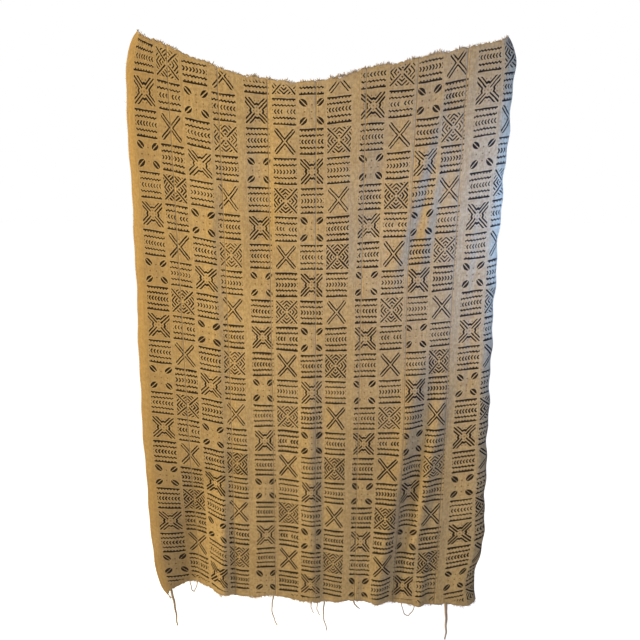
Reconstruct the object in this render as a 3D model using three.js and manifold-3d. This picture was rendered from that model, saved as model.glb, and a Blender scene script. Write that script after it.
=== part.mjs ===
// Bogolan mud cloth, hung by its two top corners.
// Eight narrow hand-woven cotton strips are sewn side by side into one cloth, and a few
// ravelled warp threads hang from its raw hem.
// Millimetres, +Z up. The cloth faces -Y. The origin is the middle of the top edge.
import * as THREE from "three";
import { mergeVertices } from "three/addons/utils/BufferGeometryUtils.js";
import Module from "manifold-3d";

// The flat cloth: across runs from the left selvedge, down from a level line near the top edge
const STRIP_COUNT = 8;
const STRIP_WIDTH = 135;
const CLOTH_WIDTH = STRIP_COUNT * STRIP_WIDTH;
const CLOTH_THICKNESS = 1.8;
const PIECE_GAP = 0.3;
const LEVEL_STEP = 520;
const FOOT_LEVEL = 3 * LEVEL_STEP;

// The mesh of one strip
const CELLS_ACROSS = 7;
const CELLS_DOWN = 34;
const HEM_CROWDING = 0.25;

// The narrow ravelled edge that holds the loose threads of a strip
const HEM_EDGE_HEIGHT = 12;
const THREAD_SIDES = 4;
const THREAD_ROOT = 4;

// How the cloth hangs, one row for each strip edge from left to right.
// x1 to x4 are the edge's place across at each level step down the cloth, headZ and footZ the
// heights of the first and last level, and topCut and hemCut where the weaving begins and ends.
const HANG_LINES = [
  { x1: -534, x2: -536, x3: -547, x4: -541, headZ: 67, footZ: -1487, topCut: -57, hemCut: 1640 },
  { x1: -415, x2: -408, x3: -403, x4: -395, headZ: 44, footZ: -1510, topCut: -45, hemCut: 1623 },
  { x1: -279, x2: -273, x3: -270, x4: -274, headZ: 15, footZ: -1541, topCut: -19, hemCut: 1618 },
  { x1: -144, x2: -143, x3: -143, x4: -144, headZ: -1, footZ: -1547, topCut: -4, hemCut: 1616 },
  { x1: -10, x2: -12, x3: -14, x4: -15, headZ: -8, footZ: -1558, topCut: -5, hemCut: 1622 },
  { x1: 127, x2: 121, x3: 117, x4: 113, headZ: 4, footZ: -1574, topCut: -26, hemCut: 1601 },
  { x1: 267, x2: 255, x3: 255, x4: 240, headZ: 16, footZ: -1577, topCut: -41, hemCut: 1610 },
  { x1: 400, x2: 388, x3: 384, x4: 376, headZ: 42, footZ: -1574, topCut: -42, hemCut: 1620 },
  { x1: 536, x2: 516, x3: 519, x4: 530, headZ: 67, footZ: -1542, topCut: -44, hemCut: 1652 },
];

// The corners draw the cloth inwards, most at the two that hold it up.
// A drawn corner is also longer than the cloth beside it.
const CORNERS = [
  { across: 0, end: "topCut", inward: 46, reach: 45, longer: 6, over: 60 },
  { across: CLOTH_WIDTH, end: "topCut", inward: -30, reach: 26, longer: 4, over: 16 },
  { across: 0, end: "hemCut", inward: 54, reach: 48, longer: 54, over: 26 },
  { across: CLOTH_WIDTH, end: "hemCut", inward: -8, reach: 30, longer: -12, over: 18 },
];

// A side edge bends inwards where the cloth beside it turns back: inward is how far at most
const SIDE_BENDS = [{ across: CLOTH_WIDTH, down: 1568, inward: -28, reach: 72 }];

// Soft folds, one row each. A fold runs through three places across the cloth, between two
// places down it, and fades at both ends. Depth is away from the front.
// A swell is one hollow, or one ridge where its depth is negative.
const SWELLS = [
  { name: "upper left hollow", head: 395, waist: 385, foot: 380, from: -40, to: 560, width: 38, depth: 8 },
  { name: "lower left hollow", head: 430, waist: 424, foot: 418, from: 900, to: 1900, width: 50, depth: 8 },
  { name: "upper right hollow", head: 760, waist: 715, foot: 690, from: 60, to: 560, width: 44, depth: 8 },
  { name: "right hollow", head: 985, waist: 978, foot: 970, from: 500, to: 1900, width: 46, depth: 9 },
  { name: "corner flute", head: 165, waist: 112, foot: 92, from: 1180, to: 2060, width: 60, depth: 36 },
  { name: "ridge by flute", head: 240, waist: 226, foot: 222, from: 1180, to: 2000, width: 34, depth: -9 },
  { name: "broad belly", head: 540, waist: 560, foot: 600, from: 100, to: 2100, width: 300, depth: -10 },
];

// A step is a ridge that drops to a hollow on its right
const STEPS = [
  { name: "left crease", head: 246, waist: 250, foot: 240, from: 40, to: 1300, width: 15, depth: 2.5 },
  { name: "left foot crease", head: 250, waist: 250, foot: 246, from: 1050, to: 1900, width: 17, depth: 5 },
  { name: "corner drag line", head: 905, waist: 838, foot: 776, from: 40, to: 600, width: 18, depth: 4.5 },
  { name: "lower drag line", head: 925, waist: 880, foot: 850, from: 90, to: 620, width: 16, depth: 3.5 },
  { name: "middle fold", head: 548, waist: 544, foot: 566, from: 720, to: 1900, width: 22, depth: 6.5 },
  { name: "main diagonal fold", head: 888, waist: 812, foot: 752, from: 740, to: 1860, width: 29, depth: 14 },
  { name: "right crossing fold", head: 952, waist: 910, foot: 872, from: 880, to: 1520, width: 18, depth: 5 },
  { name: "pleat at the hem", head: 920, waist: 908, foot: 902, from: 1380, to: 1900, width: 13, depth: 6 },
];

// Each side edge rolls back a little, more down the cloth
const EDGE_ROLLS = [
  { across: 0, width: 34, atTop: 9, atHem: 15 },
  { across: CLOTH_WIDTH, width: 36, atTop: 18, atHem: 20 },
];

// Ravelled threads that hang from the hem of a strip: across is the place of the root, length
// the drop below the hem, lean how far the tip swings to the right, kink a side bend, and
// thick and tip the widths at the root and at the end
const THREADS = [
  { strip: 1, across: 34, length: 136, lean: 14, kink: 6, thick: 6.5, tip: 3 },
  { strip: 3, across: 398, length: 112, lean: 10, kink: -9, thick: 3.4, tip: 2 },
  { strip: 4, across: 525, length: 40, lean: 8, kink: -1, thick: 2.6, tip: 1.6 },
  { strip: 5, across: 549, length: 50, lean: 7, kink: -5, thick: 2.4, tip: 1.6 },
  { strip: 5, across: 572, length: 112, lean: 9, kink: -6, thick: 3.6, tip: 2 },
  { strip: 5, across: 671, length: 30, lean: 20, kink: 1, thick: 4.5, tip: 2.4 },
  { strip: 8, across: 981, length: 136, lean: 4, kink: 3, thick: 8, tip: 3.4 },
];

// Threads that hang in a loop between two roots of one strip
const THREAD_LOOPS = [
  { strip: 1, across: 96, end: 120, sag: 40, thick: 3 },
  { strip: 7, across: 837, end: 880, sag: 44, thick: 3 },
];

// A smooth curve through evenly spaced values, read at a place between 0 and the last index
function smoothThrough(values, place) {
  const last = values.length - 1;
  const low = Math.min(Math.max(Math.floor(place), 0), last - 1);
  const t = place - low;
  const before = low > 0 ? values[low - 1] : 2 * values[0] - values[1];
  const after = low + 2 <= last ? values[low + 2] : 2 * values[last] - values[last - 1];
  const [a, b] = [values[low], values[low + 1]];
  const slopeA = (b - before) / 2;
  const slopeB = (after - a) / 2;
  const cube = 2 * (a - b) + slopeA + slopeB;
  const square = 3 * (b - a) - 2 * slopeA - slopeB;
  return ((cube * t + square) * t + slopeA) * t + a;
}

// The value of one named column of the hang lines at a place across the cloth
function hangValue(column, across) {
  return smoothThrough(HANG_LINES.map((line) => line[column]), across / STRIP_WIDTH);
}

// Where the weaving begins or ends, with the longer corners and a little unevenness
function cutLine(end, across) {
  const sign = end === "topCut" ? -1 : 1;
  const corner = CORNERS.filter((c) => c.end === end).reduce(
    (sum, c) => sum + sign * c.longer * Math.exp(-Math.abs(across - c.across) / c.over),
    0,
  );
  const uneven = 1.6 * Math.sin(across / 23) + 1.2 * Math.sin(across / 11 + 2);
  return hangValue(end, across) + corner + uneven;
}

// How strongly a fold acts at a place down the cloth: it grows, holds and fades
function foldStrength(fold, down) {
  const t = (down - fold.from) / (fold.to - fold.from);
  return t <= 0 || t >= 1 ? 0 : Math.sin(Math.PI * t) ** 0.75;
}

// The cross-section of each kind of fold, from a distance in fold widths
const swellProfile = (s) => Math.exp(-s * s);
const stepProfile = (s) => s * Math.exp(0.5 - (s * s) / 2);

// The depth that one fold gives at a place of the flat cloth
function foldDepth(fold, profile, across, down) {
  const strength = foldStrength(fold, down);
  if (strength === 0) return 0;
  const t = (down - fold.from) / (fold.to - fold.from);
  const headPart = fold.head * 2 * (t - 0.5) * (t - 1);
  const waistPart = fold.waist * 4 * t * (1 - t);
  const footPart = fold.foot * 2 * t * (t - 0.5);
  const centre = headPart + waistPart + footPart;
  return fold.depth * strength * profile((across - centre) / fold.width);
}

// The depth of a rolled side edge
function rollDepth(roll, across, down) {
  const inside = Math.abs(across - roll.across);
  const share = Math.max(0, 1 - inside / roll.width);
  return THREE.MathUtils.lerp(roll.atTop, roll.atHem, down / FOOT_LEVEL) * share * share;
}

// A point of the hanging cloth's middle surface
function clothPoint(across, down) {
  const lines = ["x1", "x2", "x3", "x4"].map((column) => hangValue(column, across));
  let x = smoothThrough(lines, down / LEVEL_STEP);
  for (const corner of CORNERS) {
    const away = Math.hypot(across - corner.across, down - cutLine(corner.end, corner.across));
    x += corner.inward * Math.exp(-away / corner.reach);
  }
  for (const bend of SIDE_BENDS) {
    const away = Math.hypot(across - bend.across, down - bend.down);
    x += bend.inward * Math.exp(-((away / bend.reach) ** 2));
  }
  const headZ = hangValue("headZ", across);
  const footZ = hangValue("footZ", across);
  const z = headZ + ((footZ - headZ) * down) / FOOT_LEVEL;
  let y = 0;
  for (const fold of SWELLS) y += foldDepth(fold, swellProfile, across, down);
  for (const fold of STEPS) y += foldDepth(fold, stepProfile, across, down);
  for (const roll of EDGE_ROLLS) y += rollDepth(roll, across, down);
  return new THREE.Vector3(x, y, z);
}

// The cloth's direction away from the front at a point
function clothNormal(across, down) {
  const reach = 1.5;
  const alongWeft = clothPoint(across + reach, down).sub(clothPoint(across - reach, down));
  const alongWarp = clothPoint(across, down + reach).sub(clothPoint(across, down - reach));
  return alongWeft.cross(alongWarp).normalize();
}

// A closed geometry from points and triangles
function closedGeometry(points, triangles) {
  const geometry = new THREE.BufferGeometry().setFromPoints(points);
  geometry.setIndex(triangles);
  return geometry;
}

// A thin solid of cloth between two places across it, from one line down to another
function sheetGeometry(acrossFrom, acrossTo, topLine, bottomLine, cellsAcross, cellsDown) {
  const points = [];
  const columns = cellsAcross + 1;
  for (const side of [-0.5, 0.5]) {
    for (let row = 0; row <= cellsDown; row++) {
      const even = row / cellsDown;
      const share = even * (1 + HEM_CROWDING - HEM_CROWDING * even);
      for (let column = 0; column < columns; column++) {
        const across = THREE.MathUtils.lerp(acrossFrom, acrossTo, column / cellsAcross);
        const down = THREE.MathUtils.lerp(topLine(across), bottomLine(across), share);
        const offset = clothNormal(across, down).multiplyScalar(side * CLOTH_THICKNESS);
        points.push(clothPoint(across, down).add(offset));
      }
    }
  }
  const backStart = columns * (cellsDown + 1);
  const front = (row, column) => row * columns + column;
  const back = (row, column) => backStart + front(row, column);
  const far = cellsAcross;
  const low = cellsDown;
  const triangles = [];
  const quad = (a, b, c, d) => triangles.push(a, b, c, a, c, d);
  for (let row = 0; row < cellsDown; row++) {
    for (let column = 0; column < cellsAcross; column++) {
      const [r, c] = [row + 1, column + 1];
      quad(front(row, column), front(r, column), front(r, c), front(row, c));
      quad(back(row, column), back(row, c), back(r, c), back(r, column));
    }
    quad(front(row, 0), back(row, 0), back(row + 1, 0), front(row + 1, 0));
    quad(front(row, far), front(row + 1, far), back(row + 1, far), back(row, far));
  }
  for (let column = 0; column < cellsAcross; column++) {
    const c = column + 1;
    quad(front(0, column), front(0, c), back(0, c), back(0, column));
    quad(front(low, column), back(low, column), back(low, c), front(low, c));
  }
  return closedGeometry(points, triangles);
}

// A square-sided thread through a list of points, with a width at each
function threadGeometry(path, widths) {
  const points = [];
  const triangles = [];
  const last = path.length - 1;
  path.forEach((point, index) => {
    const along = path[Math.min(index + 1, last)].clone().sub(path[Math.max(index - 1, 0)]).normalize();
    const back = new THREE.Vector3(0, 1, 0);
    const side = back.clone().cross(along).normalize();
    for (let corner = 0; corner < THREAD_SIDES; corner++) {
      const angle = (2 * Math.PI * (corner + 0.5)) / THREAD_SIDES;
      const radius = widths[index] / Math.SQRT2;
      const offset = side.clone().multiplyScalar(radius * Math.cos(angle));
      offset.addScaledVector(back, radius * Math.sin(angle));
      points.push(point.clone().add(offset));
    }
  });
  for (let index = 0; index < last; index++) {
    for (let corner = 0; corner < THREAD_SIDES; corner++) {
      const next = (corner + 1) % THREAD_SIDES;
      const [a, b] = [index * THREAD_SIDES + corner, index * THREAD_SIDES + next];
      triangles.push(a, b, b + THREAD_SIDES, a, b + THREAD_SIDES, a + THREAD_SIDES);
    }
  }
  const end = last * THREAD_SIDES;
  triangles.push(0, 2, 1, 0, 3, 2, end, end + 1, end + 2, end, end + 2, end + 3);
  return closedGeometry(points, triangles);
}

// The path and widths of one hanging thread, from its root inside the hem edge
function hangingThread(thread) {
  const hem = cutLine("hemCut", thread.across);
  const root = clothPoint(thread.across, hem - THREAD_ROOT);
  const leave = clothPoint(thread.across, hem);
  const steps = Math.max(3, Math.round(thread.length / 18));
  const path = [root];
  const widths = [thread.thick * 0.8];
  for (let step = 1; step <= steps; step++) {
    const t = step / steps;
    const sway = thread.lean * t * t + thread.kink * Math.sin(Math.PI * t);
    path.push(new THREE.Vector3(leave.x + sway, leave.y, leave.z - thread.length * t));
    widths.push(THREE.MathUtils.lerp(thread.thick, thread.tip, t));
  }
  return threadGeometry(path, widths);
}

// A thread that leaves the hem, sags and goes back into it
function loopedThread(loop) {
  const steps = 10;
  const path = [];
  for (let step = 0; step <= steps; step++) {
    const t = step / steps;
    const across = THREE.MathUtils.lerp(loop.across, loop.end, t);
    const hem = cutLine("hemCut", across);
    const low = clothPoint(across, hem - THREAD_ROOT);
    low.z -= (loop.sag + THREAD_ROOT) * Math.sin(Math.PI * t) ** 0.6;
    path.push(low);
  }
  return threadGeometry(path, path.map(() => loop.thick));
}

const manifold = await Module();
manifold.setup();

// A closed geometry as a solid that can be joined
function solidOf(geometry) {
  const bare = new THREE.BufferGeometry();
  bare.setAttribute("position", geometry.getAttribute("position"));
  bare.setIndex(geometry.getIndex());
  const merged = mergeVertices(bare, 1e-4);
  return new manifold.Manifold(
    new manifold.Mesh({
      numProp: 3,
      vertProperties: merged.getAttribute("position").array,
      triVerts: new Uint32Array(merged.getIndex().array),
    }),
  );
}

// Several overlapping geometries joined into one
function joined(geometries) {
  const whole = geometries.map(solidOf).reduce((sum, solid) => sum.add(solid));
  const mesh = whole.getMesh();
  const geometry = new THREE.BufferGeometry();
  geometry.setAttribute("position", new THREE.BufferAttribute(mesh.vertProperties, 3));
  geometry.setIndex(new THREE.BufferAttribute(mesh.triVerts, 1));
  return geometry;
}

// Hand-spun cotton, dyed tan
const clothMaterial = new THREE.MeshStandardMaterial({ color: 0xb08a55, roughness: 0.95, metalness: 0 });
const threadMaterial = new THREE.MeshStandardMaterial({ color: 0xb59468, roughness: 0.95, metalness: 0 });

const mudCloth = new THREE.Group();
mudCloth.name = "bogolan_mud_cloth";

// The eight woven strips, each with its ravelled edge where it has one
for (let strip = 1; strip <= STRIP_COUNT; strip++) {
  const hanging = THREADS.filter((thread) => thread.strip === strip);
  const looped = THREAD_LOOPS.filter((loop) => loop.strip === strip);
  const ravelled = hanging.length + looped.length > 0;
  const left = (strip - 1) * STRIP_WIDTH + (strip > 1 ? PIECE_GAP / 2 : 0);
  const right = strip * STRIP_WIDTH - (strip < STRIP_COUNT ? PIECE_GAP / 2 : 0);
  const top = (across) => cutLine("topCut", across);
  const hem = (across) => cutLine("hemCut", across);
  const edgeTop = (across) => hem(across) - HEM_EDGE_HEIGHT;
  const bottom = ravelled ? (across) => edgeTop(across) - PIECE_GAP : hem;
  const sheet = sheetGeometry(left, right, top, bottom, CELLS_ACROSS, CELLS_DOWN);
  const panel = new THREE.Mesh(sheet, clothMaterial);
  panel.name = "woven_strip_" + strip;
  mudCloth.add(panel);
  if (!ravelled) continue;
  const edge = sheetGeometry(left, right, edgeTop, hem, CELLS_ACROSS, 1);
  const threads = [...hanging.map(hangingThread), ...looped.map(loopedThread)];
  const ravel = new THREE.Mesh(joined([edge, ...threads]), threadMaterial);
  ravel.name = "ravelled_hem_" + strip;
  mudCloth.add(ravel);
}

export default mudCloth;
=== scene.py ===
"""The looks of a bogolan mud cloth that hangs by its two top corners.

Sizes in the tables are millimetres, as in the part's source, and meshes are metres. +Z is up, the
painted face looks towards -Y, and the origin is the middle of the top edge.
"""

import logging
import math
from dataclasses import dataclass, field
from enum import Enum
from typing import Sequence, Union

import bpy
import numpy as np
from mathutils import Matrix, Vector


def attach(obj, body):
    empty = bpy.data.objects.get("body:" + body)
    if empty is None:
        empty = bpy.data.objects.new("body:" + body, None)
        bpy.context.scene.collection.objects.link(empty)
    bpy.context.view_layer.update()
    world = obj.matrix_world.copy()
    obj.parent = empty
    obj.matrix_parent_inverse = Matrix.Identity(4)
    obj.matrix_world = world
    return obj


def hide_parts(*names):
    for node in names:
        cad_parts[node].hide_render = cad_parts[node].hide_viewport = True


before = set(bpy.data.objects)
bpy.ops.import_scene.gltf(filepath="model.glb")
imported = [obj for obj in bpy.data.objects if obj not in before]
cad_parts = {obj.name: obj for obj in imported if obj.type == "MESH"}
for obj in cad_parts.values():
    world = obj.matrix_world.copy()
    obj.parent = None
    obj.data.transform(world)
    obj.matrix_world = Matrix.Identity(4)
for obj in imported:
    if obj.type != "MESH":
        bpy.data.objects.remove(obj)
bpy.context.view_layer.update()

LOG = logging.getLogger("mud_cloth")

Socket = bpy.types.NodeSocket
Value = Union[Socket, float, tuple]

MM_PER_M = 1000.0
STRIP_COUNT = 8
STRIP_WIDTH = 135.0
CLOTH_WIDTH = STRIP_COUNT * STRIP_WIDTH
LEVEL_STEP = 520.0
FOOT_LEVEL = 3 * LEVEL_STEP
SENSOR_WIDTH = 36.0
SHEEN_ROUGHNESS = 0.6
HALF_DIAGONAL = 0.707


@dataclass(frozen=True)
class HangLine:
    """One strip edge as it hangs: its place across at four levels, its heights and its ends."""

    x1: float
    x2: float
    x3: float
    x4: float
    head_z: float
    foot_z: float
    top_cut: float
    hem_cut: float


HANG_LINES = (
    HangLine(-534, -536, -547, -541, 67, -1487, -57, 1640),
    HangLine(-415, -408, -403, -395, 44, -1510, -45, 1623),
    HangLine(-279, -273, -270, -274, 15, -1541, -19, 1618),
    HangLine(-144, -143, -143, -144, -1, -1547, -4, 1616),
    HangLine(-10, -12, -14, -15, -8, -1558, -5, 1622),
    HangLine(127, 121, 117, 113, 4, -1574, -26, 1601),
    HangLine(267, 255, 255, 240, 16, -1577, -41, 1610),
    HangLine(400, 388, 384, 376, 42, -1574, -42, 1620),
    HangLine(536, 516, 519, 530, 67, -1542, -44, 1652),
)


@dataclass(frozen=True)
class Corner:
    """A corner that draws the cloth inwards and is longer than the cloth beside it."""

    across: float
    end: str
    inward: float
    reach: float
    longer: float
    over: float


CORNERS = (
    Corner(0, "top_cut", 46, 45, 6, 60),
    Corner(CLOTH_WIDTH, "top_cut", -30, 26, 4, 16),
    Corner(0, "hem_cut", 54, 48, 54, 26),
    Corner(CLOTH_WIDTH, "hem_cut", -8, 30, -12, 18),
)


@dataclass(frozen=True)
class SideBend:
    """A place where a side edge bends inwards, because the cloth beside it turns back."""

    across: float
    down: float
    inward: float
    reach: float


SIDE_BENDS = (SideBend(CLOTH_WIDTH, 1568, -28, 72),)


class FoldKind(Enum):
    """The cross-section of a soft fold."""

    SWELL = "one hollow, or one ridge where the depth is negative"
    STEP = "a ridge that drops to a hollow on its right"


@dataclass(frozen=True)
class Fold:
    """A soft fold through three places across the cloth, which fades at both ends."""

    kind: FoldKind
    head: float
    waist: float
    foot: float
    start: float
    end: float
    width: float
    depth: float


FOLDS = (
    Fold(FoldKind.SWELL, 395, 385, 380, -40, 560, 38, 8),
    Fold(FoldKind.SWELL, 430, 424, 418, 900, 1900, 50, 8),
    Fold(FoldKind.SWELL, 760, 715, 690, 60, 560, 44, 8),
    Fold(FoldKind.SWELL, 985, 978, 970, 500, 1900, 46, 9),
    Fold(FoldKind.SWELL, 165, 112, 92, 1180, 2060, 60, 36),
    Fold(FoldKind.SWELL, 240, 226, 222, 1180, 2000, 34, -9),
    Fold(FoldKind.SWELL, 540, 560, 600, 100, 2100, 300, -10),
    Fold(FoldKind.STEP, 246, 250, 240, 40, 1300, 15, 2.5),
    Fold(FoldKind.STEP, 250, 250, 246, 1050, 1900, 17, 5),
    Fold(FoldKind.STEP, 905, 838, 776, 40, 600, 18, 4.5),
    Fold(FoldKind.STEP, 925, 880, 850, 90, 620, 16, 3.5),
    Fold(FoldKind.STEP, 548, 544, 566, 720, 1900, 22, 6.5),
    Fold(FoldKind.STEP, 888, 812, 752, 740, 1860, 29, 14),
    Fold(FoldKind.STEP, 952, 910, 872, 880, 1520, 18, 5),
    Fold(FoldKind.STEP, 920, 908, 902, 1380, 1900, 13, 6),
)

# Creases too small for the solids: they only catch the light
CREASES = (
    Fold(FoldKind.STEP, 300, 262, 214, 60, 620, 12, 1.0),
    Fold(FoldKind.STEP, 620, 640, 655, 120, 700, 12, 0.8),
    Fold(FoldKind.STEP, 330, 318, 300, 900, 1560, 16, 1.3),
    Fold(FoldKind.SWELL, 690, 672, 660, 700, 1800, 15, 1.4),
    Fold(FoldKind.STEP, 1010, 1000, 1004, 300, 1100, 11, 1.2),
    Fold(FoldKind.STEP, 700, 690, 684, 1380, 1900, 11, 1.8),
    Fold(FoldKind.STEP, 150, 168, 176, 1250, 1900, 14, 2.2),
)


@dataclass(frozen=True)
class EdgeRoll:
    """A side edge that rolls back, more down the cloth."""

    across: float
    width: float
    at_top: float
    at_hem: float


EDGE_ROLLS = (EdgeRoll(0, 34, 9, 15), EdgeRoll(CLOTH_WIDTH, 36, 18, 20))


@dataclass(frozen=True)
class HangingThread:
    """A ravelled warp thread that hangs from the hem."""

    strip: int
    across: float
    length: float
    lean: float
    kink: float
    thick: float
    tip: float


THREADS = (
    HangingThread(1, 34, 136, 14, 6, 6.5, 3),
    HangingThread(3, 398, 112, 10, -9, 3.4, 2),
    HangingThread(4, 525, 40, 8, -1, 2.6, 1.6),
    HangingThread(5, 549, 50, 7, -5, 2.4, 1.6),
    HangingThread(5, 572, 112, 9, -6, 3.6, 2),
    HangingThread(5, 671, 30, 20, 1, 4.5, 2.4),
    HangingThread(8, 981, 136, 4, 3, 8, 3.4),
)


@dataclass(frozen=True)
class ThreadLoop:
    """A ravelled thread that hangs in a loop between two roots."""

    strip: int
    across: float
    end: float
    sag: float
    thick: float


LOOPS = (ThreadLoop(1, 96, 120, 40, 3), ThreadLoop(7, 837, 880, 44, 3))


@dataclass(frozen=True)
class PaintDrift:
    """How far the painter's hand had wandered at one level, at seven even places across.

    Attributes:
        columns: How much further right the painted columns are read.
        rows: How much further down the painted rows are read.
    """

    columns: tuple
    rows: tuple


PAINT_DRIFTS = (
    PaintDrift(
        (-0.9, 0.4, 1.2, -1.2, -1.9, 0.2, 5.1),
        (-12.9, -7.5, -2.2, 5.5, 9.5, 9.4, 5.5),
    ),
    PaintDrift(
        (-4.6, -2.7, -1.3, -2.0, -0.2, 1.0, 5.4),
        (-14.0, -8.3, 0.3, 8.9, 11.8, 9.1, -0.2),
    ),
    PaintDrift(
        (-6.8, -3.5, -1.1, -1.3, 2.6, 3.3, 4.4),
        (-12.8, -5.8, 3.3, 10.7, 13.7, 10.6, -3.6),
    ),
    PaintDrift(
        (-2.8, -0.3, -0.1, -1.9, 1.1, 3.0, 3.0),
        (-11.2, -3.8, 1.7, 6.8, 11.0, 8.8, -0.5),
    ),
    PaintDrift(
        (0.8, 0.2, -1.2, -0.6, 2.2, 2.6, 1.4),
        (-4.4, 0.3, 2.0, 3.7, 7.6, 10.3, 10.7),
    ),
    PaintDrift(
        (0.0, 0.9, 2.4, 4.9, 5.9, 3.8, 0.9),
        (6.0, 5.5, 3.2, 2.4, 5.8, 12.9, 22.0),
    ),
)
PAINT_LEVEL_STEP = 330.0
PAINT_COLUMN_STEP = 180.0


@dataclass(frozen=True)
class PaintPull:
    """How the painted columns and rows leave the grid near the left side, in millimetres.

    Attributes:
        sideways: How much further right the columns are read at the side, at the foot.
        side_reach: How far across the cloth that reaches.
        lower: How much further down the rows are read in the top left corner.
        corner: The corner's place across and down.
        corner_reach: How far around the corner that reaches.
    """

    sideways: float = -9.0
    side_reach: float = 160.0
    lower: float = 24.0
    corner: tuple = (20.0, -50.0)
    corner_reach: float = 110.0


PAINT_PULL = PaintPull()


def smooth_through(values: Sequence[np.ndarray], place: np.ndarray) -> np.ndarray:
    """A smooth curve through evenly spaced values.

    Args:
        values: The values, one array or number for each index.
        place: Where to read, between 0 and the last index.

    Returns:
        The value at each place.
    """
    rows = [np.broadcast_to(np.asarray(v, float), place.shape) for v in values]
    rows = [2 * rows[0] - rows[1], *rows, 2 * rows[-1] - rows[-2]]
    stack = np.stack(rows)
    low = np.clip(np.floor(place), 0, len(values) - 2).astype(int)
    t = place - low

    def pick(step: int) -> np.ndarray:
        """The value a number of indexes after the one before each place."""
        return np.take_along_axis(stack, (low + step)[None], 0)[0]

    before, a, b, after = (pick(step) for step in range(4))
    slope_a = (b - before) / 2
    slope_b = (after - a) / 2
    cube = 2 * (a - b) + slope_a + slope_b
    square = 3 * (b - a) - 2 * slope_a - slope_b
    return ((cube * t + square) * t + slope_a) * t + a


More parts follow.
